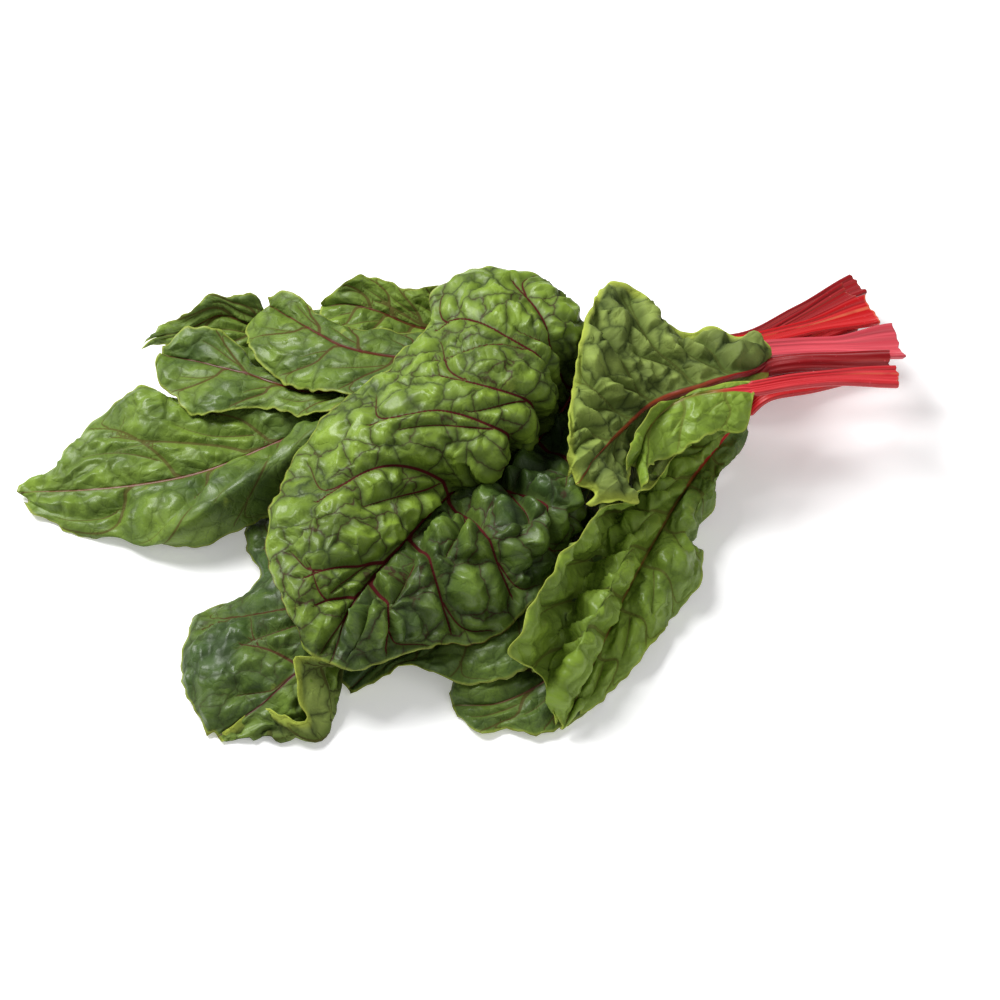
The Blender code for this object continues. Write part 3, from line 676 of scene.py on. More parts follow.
def leaf_sheet(leaf, stalk_at, blade_at, columns, blade_thickness):
    """The whole upper face of a leaf as rows of points, right edge first, and its thickness."""
    across = np.concatenate([-columns[:0:-1], columns])
    stalk, stalk_depth = stalk_rows(leaf, stalk_at, across)
    left = blade_half(leaf, leaf.left, 1, blade_at, columns)
    right = blade_half(leaf, leaf.right, -1, blade_at, columns)
    blade = np.concatenate([right[:, :0:-1], left], axis=1)
    midrib = MIDRIB_THICKNESS[0] + (MIDRIB_THICKNESS[1] - MIDRIB_THICKNESS[0]) * blade_at
    hump = 0.5 + 0.5 * np.cos(math.pi * np.clip(np.abs(across) / MIDRIB_COLUMN, 0, 1))
    blade_depth = blade_thickness + (midrib[:, None] - blade_thickness) * hump
    base_depth = stalk_depth[-1:]
    ease = smooth_step(blade_at / BLADE_START)[:, None]
    blade_depth = base_depth + (blade_depth - base_depth) * ease
    blend = smooth_step(blade_at / (BLADE_START * 0.5))[:, None, None]
    blade = blade + (stalk[-1:] - blade[:1]) * (1 - blend)
    points = np.concatenate([stalk[:-1], blade])
    return points, np.concatenate([stalk_depth[:-1], blade_depth])


def neighbour_mean(values, rounds):
    """Values on a grid, averaged with their neighbours."""
    tail = ((0, 0),) * (values.ndim - 2)
    for _ in range(rounds):
        padded = np.pad(values, ((1, 1), (1, 1)) + tail, mode="edge")
        values = (padded[:-2, 1:-1] + padded[2:, 1:-1] + padded[1:-1, :-2]
                  + padded[1:-1, 2:] + 2 * values) / 6
    return values


def sheet_normals(points, rounds):
    """Directions out of the upper face."""
    along = np.gradient(points, axis=0)
    across = np.gradient(points, axis=1)
    return unit(neighbour_mean(unit(np.cross(along, across)), rounds))


def facets(points, parts):
    """Places spread evenly over the two flat facets of every quad."""
    a, b = np.meshgrid(np.linspace(0, 1, parts), np.linspace(0, 1, parts), indexing="ij")
    a = a.reshape(1, 1, -1, 1)
    b = b.reshape(1, 1, -1, 1)
    p00 = points[:-1, :-1, None]
    p10 = points[1:, :-1, None]
    p01 = points[:-1, 1:, None]
    p11 = points[1:, 1:, None]
    near = p00 + a * (p10 - p00) + b * (p01 - p00)
    far = p11 + (1 - a) * (p01 - p11) + (1 - b) * (p10 - p11)
    return np.where(a + b <= 1, near, far)


class Pile:
    """The height of what has been laid down so far, on a square grid of one-millimetre cells."""

    HALF_SIDE = 260.0

    def __init__(self, gap, parts, spread):
        count = int(2 * self.HALF_SIDE)
        self.gap = gap
        self.parts = parts
        self.spread = spread
        self.top = np.full((count, count), SURFACE_GAP - gap)

    def cells(self, places):
        """The row and column of the cell under each place."""
        index = (places[..., :2] + self.HALF_SIDE).astype(int)
        return index[..., 0], index[..., 1]

    def lift_for(self, faces):
        """How far each point of a leaf has to rise to clear the pile, made smooth."""
        needed = np.full(faces[0].shape[:2], -OUT_OF_REACH)
        for points in faces:
            samples = facets(points, self.parts)
            quad = (self.top[self.cells(samples)] + self.gap - samples[..., 2]).max(axis=2)
            for rows in (slice(None, -1), slice(1, None)):
                for columns in (slice(None, -1), slice(1, None)):
                    needed[rows, columns] = np.maximum(needed[rows, columns], quad)
        lift = np.maximum(needed, 0.0)
        for _ in range(self.spread):
            lift = np.maximum(np.maximum(needed, 0.0), neighbour_mean(lift, 1))
        return lift

    def lay(self, faces):
        """Lays a leaf down on the pile."""
        lift = self.lift_for(faces)
        for points in faces:
            points[..., 2] += lift
            samples = facets(points, self.parts)
            np.maximum.at(self.top, self.cells(samples), samples[..., 2])
        return lift


def coarse_lifts():
    """How far every leaf is lifted on the CAD's own coarse grid, and the middle of its box."""
    stalk_at = np.linspace(0, 1, COARSE_STALK_ROWS)
    blade_at = np.linspace(0, 1, COARSE_BLADE_ROWS)
    columns = np.linspace(0, 1, COARSE_COLUMNS + 1)
    pile = Pile(COARSE_GAP, COARSE_PARTS, COARSE_SPREAD)
    lifts = {}
    low, high = np.full(3, np.inf), np.full(3, -np.inf)
    for leaf in LEAVES:
        points, thickness = leaf_sheet(leaf, stalk_at, blade_at, columns, CAD_BLADE_THICKNESS)
        lower = points - sheet_normals(points, 2) * thickness[..., None]
        lifts[leaf.name] = pile.lay((points, lower))
        for face in (points, lower):
            low = np.minimum(low, face.min(axis=(0, 1)))
            high = np.maximum(high, face.max(axis=(0, 1)))
    return lifts, np.array([(low[0] + high[0]) / 2, (low[1] + high[1]) / 2, low[2]])


def lift_at(lift, stalk_at, blade_at, columns):
    """A coarse lift read between its points."""
    rows = np.concatenate([stalk_at[:-1] * (COARSE_STALK_ROWS - 1),
                           COARSE_STALK_ROWS - 1 + blade_at * (COARSE_BLADE_ROWS - 1)])
    places = (np.concatenate([-columns[:0:-1], columns]) + 1) * COARSE_COLUMNS
    row = np.clip(rows.astype(int), 0, lift.shape[0] - 2)
    place = np.clip(places.astype(int), 0, lift.shape[1] - 2)
    a = smooth_step(rows - row)[:, None]
    b = smooth_step(places - place)[None, :]
    corner = lift[row][:, place] * (1 - a) + lift[row + 1][:, place] * a
    other = lift[row][:, place + 1] * (1 - a) + lift[row + 1][:, place + 1] * a
    return corner * (1 - b) + other * b


def running_length(points, axis):
    """The length from the first row or column to each point."""
    steps = np.linalg.norm(np.diff(points, axis=axis), axis=2)
    return np.concatenate([np.zeros_like(np.take(steps, [0], axis)), steps.cumsum(axis)], axis)


def margin_distance(points, first_blade_row):
    """Millimetres from each point of the blade to its margin; the stalk counts as far inside."""
    across = running_length(points, 1)
    edge = np.minimum(across, across[:, -1:] - across)
    middle = points.shape[1] // 2
    length = running_length(points, 0)[:, middle]
    edge = np.minimum(edge, (length[-1] - length)[:, None])
    edge[:first_blade_row] = FAR
    return edge


def wavy(run, phase, waves):
    """A sum of sines along a line."""
    return sum(height * np.sin(run / length + turn * phase) for length, turn, height in waves)


def ruffle_margin(points, edge, first_blade_row, seed):
    """Small waves and notches along the margin."""
    normals = sheet_normals(points, 3)
    outward = unit(np.gradient(points, axis=1))
    middle = points.shape[1] // 2
    outward[:, :middle] *= -1
    for side, column in ((0, 0), (1, -1)):
        run = running_length(points, 0)[:, column]
        phase = seed * LEAF_TURN + side * SIDE_TURN
        wave = wavy(run, phase, RUFFLE_WAVES)
        notch = wavy(run, phase, SHORT_NOTCH) * wavy(run, phase, LONG_NOTCH)
        notch = notch + wavy(run, phase, FINE_NOTCH)
        ends = smooth_step(np.arange(len(run)) / first_blade_row - RUFFLE_START)
        half = slice(0, middle) if side == 0 else slice(middle, None)
        near = edge[:, half]
        lift = (wave * ends)[:, None] * np.exp(-near / RUFFLE_REACH) * RUFFLE_HEIGHT
        push = (notch * ends)[:, None] * np.exp(-near / NOTCH_REACH) * NOTCH_DEPTH
        points[:, half] += normals[:, half] * lift[..., None] + outward[:, half] * push[..., None]
    return points


def grown_veins(look):
    """Side veins spaced evenly along the midrib, besides those that its look lists."""
    lines = []
    for sign, count in zip((1, -1), look.side_veins):
        for index in range(count):
            start = VEIN_FIRST + VEIN_SPAN * (index + VEIN_STAGGER * (sign > 0)) / count
            bend = VEIN_BEND * math.sin(3.7 * index + sign)
            lines.append([(start + ahead + turn * bend, sign * out)
                          for ahead, out, turn in VEIN_PATH])
    return lines


def forks(line):
    """Two thinner branches of a side vein, towards the tip and back, from its last points."""
    (u1, v1), (u2, v2), (u3, v3) = line[-3:]
    rise = FORK_RISE + FORK_CHANGE * math.sin(40 * u1)
    out, far = FORK_AHEAD
    ahead = [(u1, v1), (u1 + rise, v1 + out * (v2 - v1)), (u2 + far * rise, v2)]
    middle = ((u2 + u3) / 2, (v2 + v3) / 2)
    near, far = FORK_BACK
    outermost = min(abs(v3) + FORK_OUT, LAST_PLACE) * np.sign(v3)
    back = [middle, (u3 - near * rise, v3), (u3 - far * rise, outermost)]
    return [ahead, back]


def rag_cut(points, across, seed):
    """An uneven cut across the end of the stalk."""
    heading = unit(points[0] - points[3])
    uneven = wavy(across, seed, CUT_WAVES) * CUT_UNEVEN
    points[:2] += heading * uneven[:, None]
    return points


def place_on(points, u, across, path):
    """Places in space of a path over the leaf, given as shares along and across it."""
    row = np.interp(path[:, 0], u, np.arange(len(u)))
    column = np.interp(path[:, 1], across, np.arange(len(across)))
    r = np.clip(row.astype(int), 0, points.shape[0] - 2)
    c = np.clip(column.astype(int), 0, points.shape[1] - 2)
    a, b = (row - r)[:, None], (column - c)[:, None]
    near = points[r, c] * (1 - b) + points[r, c + 1] * b
    far = points[r + 1, c] * (1 - b) + points[r + 1, c + 1] * b
    return near * (1 - a) + far * a


def line_samples(lines, widths, start, points, u, across):
    """Dense places along lines over a leaf, their half widths and whether each line goes on."""
    share = np.linspace(start, 1, VEIN_SAMPLES)
    places = [place_on(points, u, across, line_through(line, share)) for line in lines]
    halves = widths[0] + (widths[1] - widths[0]) * share
    joined = np.arange(VEIN_SAMPLES) < VEIN_SAMPLES - 1
    return np.concatenate(places), np.tile(halves, len(lines)), np.tile(joined, len(lines))


def line_distance(samples, grid):
    """The nearest line to every point: how far, which side of it, and how wide the line is."""
    places, halves, joined = samples
    tree = KDTree(len(places))
    for index, place in enumerate(places):
        tree.insert(place, index)
    tree.balance()
    points = grid.reshape(-1, 3)
    normals = sheet_normals(grid, 1).reshape(-1, 3)
    nearest = np.array([tree.find(point)[1] for point in points])
    best = np.full(len(points), np.inf)
    side = np.ones(len(points))
    for first in (nearest, np.maximum(nearest - 1, 0)):
        first = np.where(joined[first], first, np.maximum(first - 1, 0))
        start, step = places[first], places[first + 1] - places[first]
        length = np.maximum((step ** 2).sum(axis=1), 1e-9)
        offset = points - start
        t = ((offset * step).sum(axis=1) / length).clip(0, 1)
        gap = np.linalg.norm(offset - step * t[:, None], axis=1)
        turn = np.sign((np.cross(step, offset) * normals).sum(axis=1))
        side = np.where(gap < best, turn, side)
        best = np.minimum(best, gap)
    shape = grid.shape[:2]
    return best.reshape(shape), side.reshape(shape), halves[nearest].reshape(shape)


class Sheet:
    """A finely sampled leaf: its two faces and what its surface knows at each point.

    first is the first row of the blade.  u runs from -1 at the cut through 0, where the blade
    starts, to 1 at the tip, and across runs from -1 at the right margin to 1 at the left one.
    """

    def __init__(self, leaf, lift, origin, seed):
        self.leaf = leaf
        self.look = LOOKS[leaf.name]
        stalk_at = np.concatenate([CUT_STEPS, np.linspace(FIRST_STALK_STEP, 1.0, STALK_STEPS)])
        blade_at = np.linspace(0, 1, self.look.rows)
        inner = np.linspace(0, MIDRIB_COLUMN, MIDRIB_STEPS + 1)[:-1]
        columns = np.concatenate([inner, np.linspace(MIDRIB_COLUMN, 1, self.look.columns)])
        points, thickness = leaf_sheet(leaf, stalk_at, blade_at, columns, BLADE_THICKNESS)
        points[..., 2] += lift_at(lift, stalk_at, blade_at, columns)
        points -= origin
        self.rest = points.copy()
        self.first = len(stalk_at) - 1
        self.u = np.concatenate([stalk_at[:-1] - 1, blade_at])
        self.across = np.concatenate([-columns[:0:-1], columns])
        middle = len(columns) - 1
        self.edge = margin_distance(points, self.first)
        points = ruffle_margin(points, self.edge, self.first, seed)
        points = rag_cut(points, self.across, seed)
        run = running_length(points, 1)
        run = run - run[:, [middle]]
        self.rib = np.abs(run) - np.interp(self.u, *zip(*RIB_HALF_WIDTH))[:, None]
        self.rib[:self.first] = WITHIN_RIB
        self.add_veins()
        self.normals = sheet_normals(points, NORMAL_SPREAD)
        thin = THIN_RIM + (1 - THIN_RIM) * smooth_step(self.edge / THIN_REACH)
        self.upper = points
        self.lower = points - self.normals * (thickness * thin)[..., None]
        self.room = np.ones(points.shape[:2])
        self.puff, self.swell, self.lump = (
            np.tile(np.interp(self.across, *zip(*line)), (len(self.u), 1))
            for line in (self.look.puff, self.look.swell, self.look.lump))
        self.tone = self.tones()

    def add_veins(self):
        """Keeps how far each point is from its nearest side vein and its nearest twig."""
        stems = list(self.look.veins) + grown_veins(self.look)
        twigs = [branch for line in stems for branch in forks(line)]
        self.veins = {}
        gaps = []
        for name, lines, widths, start in (
                ("stem", stems, STEM_VEIN, 0.0), ("twig", twigs, TWIG_VEIN, TWIG_START)):
            samples = line_samples(lines, widths, start, self.rest, self.u, self.across)
            distance, side, half = line_distance(samples, self.rest)
            distance[:self.first] = FAR
            self.veins[name] = distance * side
            self.veins[name + "_half"] = half
            gaps.append(distance - half)
        self.veins["vein_gap"] = np.minimum(*gaps)

    def tones(self):
        """How pale the blade is at each point, partly its own paleness and partly painted light
        and shade.
        """
        left_base, left_tip, right_base, right_tip = self.look.tone
        along = smooth_step(self.u)[:, None]
        left = left_base + (left_tip - left_base) * along
        right = right_base + (right_tip - right_base) * along
        share = smooth_step((self.across + TONE_BLEND) / (2 * TONE_BLEND))[None, :]
        return right + (left - right) * share

    def top_face(self):
        """The face that looks up."""
        return self.lower if self.leaf.turned else self.upper


def spread_low(ceiling, cells):
    """A map in which every cell takes the lowest value within a few cells of it."""
    for _ in range(cells):
        padded = np.pad(ceiling, 1, mode="edge")
        ceiling = np.minimum.reduce([padded[1:-1, 1:-1], padded[:-2, 1:-1], padded[2:, 1:-1],
                                     padded[1:-1, :-2], padded[1:-1, 2:]])
    return ceiling


def leave_room(sheets, pile):
    """Flattens the pillows of a leaf where another leaf lies on it."""
    ceiling = np.full_like(pile.top, OUT_OF_REACH)
    for sheet in reversed(sheets):
        face = sheet.top_face()
        low = spread_low(ceiling, ROOM_CELLS)
        room = (low[pile.cells(face)] - face[..., 2] - ROOM_START) / ROOM_SPAN
        sheet.room = neighbour_mean(np.clip(room, 0.0, 1.0), ROOM_SPREAD)
        for points in (sheet.upper, sheet.lower):
            samples = facets(points, FINE_PARTS)
            np.minimum.at(ceiling, pile.cells(samples), samples[..., 2])


@functools.lru_cache(maxsize=1)
def laid_sheets():
    """Every leaf, finely sampled and laid on those below it, by name."""
    lifts, origin = coarse_lifts()
    pile = Pile(FINE_GAP, FINE_PARTS, FINE_SPREAD)
    sheets = []
    for seed, leaf in enumerate(LEAVES):
        sheet = Sheet(leaf, lifts[leaf.name], origin, seed)
        pile.lay((sheet.upper, sheet.lower))
        sheets.append(sheet)
    leave_room(sheets, pile)
    return {sheet.leaf.name: sheet for sheet in sheets}


def grid_quads(rows, columns, first, turn):
    """The quads of a grid of points."""
    index = first + np.arange(rows * columns).reshape(rows, columns)
    corners = [index[:-1, :-1], index[1:, :-1], index[1:, 1:], index[:-1, 1:]]
    quads = np.stack(corners, axis=-1).reshape(-1, 4)
    return quads[:, ::-1] if turn else quads


def wall_quads(rows, columns):
    """The narrow wall that joins the two faces all the way round."""
    index = np.arange(rows * columns).reshape(rows, columns)
    ring = np.concatenate([index[0, :-1], index[:-1, -1], index[-1, :0:-1], index[:0:-1, 0]])
    after = np.roll(ring, -1)
    shift = rows * columns
    return np.stack([ring, after, after + shift, ring + shift], axis=-1)


def store(mesh, name, kind, values):
    """Keeps a value for each point of the mesh."""
    attribute = mesh.attributes.new(name, kind, "POINT")
    field = "vector" if kind == "FLOAT_VECTOR" else "value"
    attribute.data.foreach_set(field, np.ascontiguousarray(values, np.float32).ravel())


def sheet_mesh(sheet):
    """The closed mesh of a leaf, with what its surface knows stored at its points."""
    rows, columns = sheet.upper.shape[:2]
    points = np.concatenate([sheet.upper.reshape(-1, 3), sheet.lower.reshape(-1, 3)]) * MM
    quads = np.concatenate([grid_quads(rows, columns, 0, False),
                            grid_quads(rows, columns, rows * columns, True),
                            wall_quads(rows, columns)])
    mesh = bpy.data.meshes.new(sheet.leaf.name)
    mesh.vertices.add(len(points))
    mesh.vertices.foreach_set("co", points.astype(np.float32).ravel())
    mesh.loops.add(quads.size)
    mesh.loops.foreach_set("vertex_index", quads.astype(np.int32).ravel())
    mesh.polygons.add(len(quads))
    mesh.polygons.foreach_set("loop_start", np.arange(0, quads.size, 4, dtype=np.int32))
    mesh.update(calc_edges=True)
    mesh.validate()
    for name, values in (("place", sheet.rest), ("outward", sheet.normals)):
        values = values.reshape(-1, 3)
        store(mesh, name, "FLOAT_VECTOR", np.concatenate([values, values]))
    across = np.tile(sheet.across, (rows, 1))
    along = np.tile(sheet.u[:, None], (1, columns))
    for name, values in (
            *sheet.veins.items(), ("rib", sheet.rib), ("rim", sheet.edge),
            ("puff", sheet.puff * sheet.room), ("swell", sheet.swell * sheet.room),
            ("lump", sheet.lump * sheet.room), ("tone", sheet.tone), ("along", along),
            ("across", across)):
        store(mesh, name, "FLOAT", np.concatenate([values.ravel(), values.ravel()]))
    store(mesh, "under", "FLOAT", np.repeat([0.0, 1.0], rows * columns))
    return mesh


class Value:
    """A node's output that can be used in sums."""

    def __init__(self, maker, socket):
        self.maker = maker
        self.socket = socket

    def __add__(self, other):
        return self.maker.math("ADD", self, other)

    def __sub__(self, other):
        return self.maker.math("SUBTRACT", self, other)

    def __rsub__(self, other):
        return self.maker.math("SUBTRACT", other, self)

    def __mul__(self, other):
        return self.maker.math("MULTIPLY", self, other)

    def __truediv__(self, other):
        return self.maker.math("DIVIDE", self, other)

    def __rtruediv__(self, other):
        return self.maker.math("DIVIDE", other, self)

    __radd__ = __add__
    __rmul__ = __mul__


class Maker:
    """Adds nodes to one tree."""

    def __init__(self, tree):
        self.tree = tree

    def node(self, kind, settings=None, inputs=None):
        """A node with its settings, then the values or links of its sockets."""
        node = self.tree.nodes.new(kind)
        for name, value in (settings or {}).items():
            setattr(node, name, value)
        for name, value in (inputs or {}).items():
            socket = node.inputs[name]
            if isinstance(value, Value):
                value = value.socket
            if isinstance(value, bpy.types.NodeSocket):
                self.tree.links.new(value, socket)
            else:
                socket.default_value = value
        return node

    def math(self, operation, *values):
        """The result of a sum on numbers."""
        node = self.node("ShaderNodeMath", {"operation": operation}, dict(enumerate(values)))
        return Value(self, node.outputs[0])

    def vector(self, operation, *values, scale=None):
        """The result of a sum on vectors."""
        inputs = dict(enumerate(values))
        if scale is not None:
            inputs["Scale"] = scale
        node = self.node("ShaderNodeVectorMath", {"operation": operation}, inputs)
        return node.outputs[0]

    def ease(self, value, low, high):
        """0 below low, 1 above high, smooth between them; low may be the larger."""
        node = self.node(
            "ShaderNodeMapRange", {"interpolation_type": "SMOOTHSTEP"},
            {"Value": value, "From Min": low, "From Max": high})
        return Value(self, node.outputs[0])

    def mix(self, share, first, second):
        """A colour between two, each a plain colour or a socket."""
        first, second = with_alpha(first), with_alpha(second)
        node = self.node("ShaderNodeMix", {"data_type": "RGBA"}, {0: share, 6: first, 7: second})
        return node.outputs[2]

    def noise(self, place, scale, detail=2.0):
        """Soft noise, as the node, because both its number and its colour are used."""
        return self.node(
            "ShaderNodeTexNoise", {"noise_dimensions": "3D"},
            {"Vector": place, "Scale": scale, "Detail": detail})

    def cell_edge(self, place, size):
        """Millimetres to the border between cells of this size."""
        node = self.node(
            "ShaderNodeTexVoronoi",
            {"feature": "DISTANCE_TO_EDGE", "voronoi_dimensions": "3D"},
            {"Vector": place, "Scale": 1.0 / size})
        return Value(self, node.outputs["Distance"]) * size

    def cell_dome(self, place, size):
        """A rounded rise from the border of each such cell to its middle."""
        node = self.node(
            "ShaderNodeTexVoronoi", {"feature": "F1", "voronoi_dimensions": "3D"},
            {"Vector": place, "Scale": 1.0 / size})
        reach = Value(self, node.outputs["Distance"]) * DOME_SLOPE
        return self.math("MAXIMUM", 1.0 - reach * reach, 0.0)


def with_alpha(colour):
    """A plain colour with its fourth number; a socket stays as it is."""
    if isinstance(colour, bpy.types.NodeSocket):
        return colour
    return (*colour, 1.0)


def swell(maker, distance, reach):
    """A rounded rise from 0 at distance 0 to nearly 1 beyond reach."""
    shrink = maker.math("EXPONENT", maker.math("MAXIMUM", distance, 0.0) * (-1.0 / reach))
    return 1.0 - shrink


def crinkles(maker, place, near, pillow_size, pucker_size):
    """The parts that the relief of a blade is the sum of, each from 0 to about 1."""
    drift = maker.noise(place, DRIFT_SCALE).outputs["Color"]
    drifted = maker.vector("MULTIPLY_ADD", drift, DRIFT, place)
    shaken = maker.noise(place, SHAKE_SCALE, 3.0).outputs["Color"]
    moved = maker.vector("MULTIPLY_ADD", shaken, SHAKE, drifted)
    crease = maker.math("MINIMUM", near, maker.cell_edge(moved, pillow_size))
    fold = Value(maker, maker.noise(drifted, FOLD_SCALE, 1.0).outputs[0])
    return {
        "clear": swell(maker, near, CLEAR_REACH),
        "dome": swell(maker, near, DOME_REACH),
        "lump": swell(maker, near, LUMP_REACH) * maker.cell_dome(drifted, pillow_size),
        "crease": crease,
        "pillow": swell(maker, crease, PILLOW_REACH),
        "pucker": swell(maker, maker.cell_edge(moved, pucker_size), PUCKER_REACH),
        "fold": 1.0 - maker.math("ABSOLUTE", fold * 2.0 - 1.0) * 3.0,
    }


RELIEF_INPUTS = (
    ("Pillow Size", "pillow_size"), ("Pillow Rise", "pillow_rise"),
    ("Pucker Size", "pucker_size"), ("Pucker Rise", "pucker_rise"),
    ("Wrinkle Rise", "wrinkle_rise"), ("Ridge Rise", "ridge_rise"),
    ("Groove Depth", "groove_depth"))


def named(maker, name, kind="FLOAT"):
    """A value stored at the mesh's points, in geometry nodes."""
    node = maker.node("GeometryNodeInputNamedAttribute", {"data_type": kind}, {"Name": name})
    return node.outputs["Attribute"]


def relief_rise(maker, size):
    """How far each point moves out of the upper face, in metres."""
    place = named(maker, "place", "FLOAT_VECTOR")
    vein, rib, rim, puff, dome, lump, under, across = (
        Value(maker, named(maker, name))
        for name in ("vein_gap", "rib", "rim", "puff", "swell", "lump", "under", "across"))
    near = maker.math("MINIMUM", vein, rib)
    parts = crinkles(maker, place, near, size["Pillow Size"] / MM, size["Pucker Size"] / MM)
    beside_rib = maker.ease(rib, 0.0, BESIDE_RIB)
    inside_rim = maker.ease(rim, 0.0, INSIDE_RIM)
    pillow = parts["pillow"] * (PILLOW_FLAT + parts["lump"] * PILLOW_ON_LUMP)
    pillow = pillow * size["Pillow Rise"]
    pucker = parts["pucker"] * parts["pillow"] * size["Pucker Rise"]
    fold = maker.math("MAXIMUM", parts["fold"], 0.0) * (puff + FOLD_ANYWAY)
    blade = parts["clear"] * (puff * (pillow + pucker) + fold * size["Wrinkle Rise"])
    blade = blade + (parts["dome"] * dome + parts["lump"] * lump) * beside_rib * MM
    sunk = (dome + lump) * size["Sink"] * inside_rim * MM * beside_rib
    ridge = maker.ease(near, *RIDGE_EDGE) * size["Ridge Rise"] * maker.ease(rib, *RIDGE_LIMIT)
    groove = maker.math("COSINE", across * GROOVES * math.pi) * size["Groove Depth"]
    groove = groove * maker.ease(rib, *GROOVE_EDGE) * (1.0 - 2.0 * under)
    upright = 1.0 - 2.0 * size["Turned"]
    return (blade * inside_rim - sunk) * upright - ridge * under + groove


def relief_tree():
    """Geometry nodes that quilt a leaf's blade between its veins and groove its stalk."""
    tree = bpy.data.node_groups.new("chard_relief", "GeometryNodeTree")
    numbers = ["Turned", "Sink", "Floor Gap"] + [label for label, _ in RELIEF_INPUTS]
    sockets = [("Geometry", "NodeSocketGeometry"), ("Material", "NodeSocketMaterial")]
    sockets += [(label, "NodeSocketFloat") for label in numbers]
    for label, kind in sockets:
        tree.interface.new_socket(name=label, in_out="INPUT", socket_type=kind)
    tree.interface.new_socket(name="Geometry", in_out="OUTPUT", socket_type="NodeSocketGeometry")
    maker = Maker(tree)
    given = maker.node("NodeGroupInput").outputs
    size = {label: Value(maker, given[label]) for label in numbers}
    offset = maker.vector(
        "SCALE", named(maker, "outward", "FLOAT_VECTOR"), scale=relief_rise(maker, size))
    moved = maker.vector("ADD", maker.node("GeometryNodeInputPosition").outputs[0], offset)
    split = maker.node("ShaderNodeSeparateXYZ", inputs={"Vector": moved}).outputs
    height = maker.math("MAXIMUM", Value(maker, split[2]), size["Floor Gap"])
    joined = maker.node("ShaderNodeCombineXYZ", inputs={0: split[0], 1: split[1], 2: height})
    shaped = maker.node("GeometryNodeSetPosition", inputs={
        "Geometry": given["Geometry"], "Position": joined.outputs[0]})
    real = maker.node("GeometryNodeRealizeInstances", inputs={"Geometry": shaped.outputs[0]})
    painted = maker.node("GeometryNodeSetMaterial", inputs={
        "Geometry": real.outputs[0], "Material": given["Material"]})
    maker.node("NodeGroupOutput", inputs={"Geometry": painted.outputs[0]})
    return tree


def shared_relief():
    """The one relief tree, made on its first use."""
    return bpy.data.node_groups.get("chard_relief") or relief_tree()


def set_inputs(modifier, values):
    """Sets a Geometry Nodes modifier's inputs by name, through their identifiers."""
    for item in modifier.node_group.interface.items_tree:
        if item.item_type == "SOCKET" and item.in_out == "INPUT" and item.name in values:
            modifier[item.identifier] = values[item.name]


def lerp(low, high, share):
    """A plain colour between two."""
    return tuple(a + (b - a) * share for a, b in zip(low, high))


def stalk_colour(colours, share):
    """Dark red, scarlet or pink."""
    if share < 0.5:
        return lerp(colours.stalk_dark, colours.stalk_scarlet, share * 2)
    return lerp(colours.stalk_scarlet, colours.stalk_pink, share * 2 - 1)


def stored(maker, name):
    """A number stored at the mesh's points, in a material."""
    node = maker.node("ShaderNodeAttribute", {"attribute_name": name})
    return Value(maker, node.outputs["Fac"])


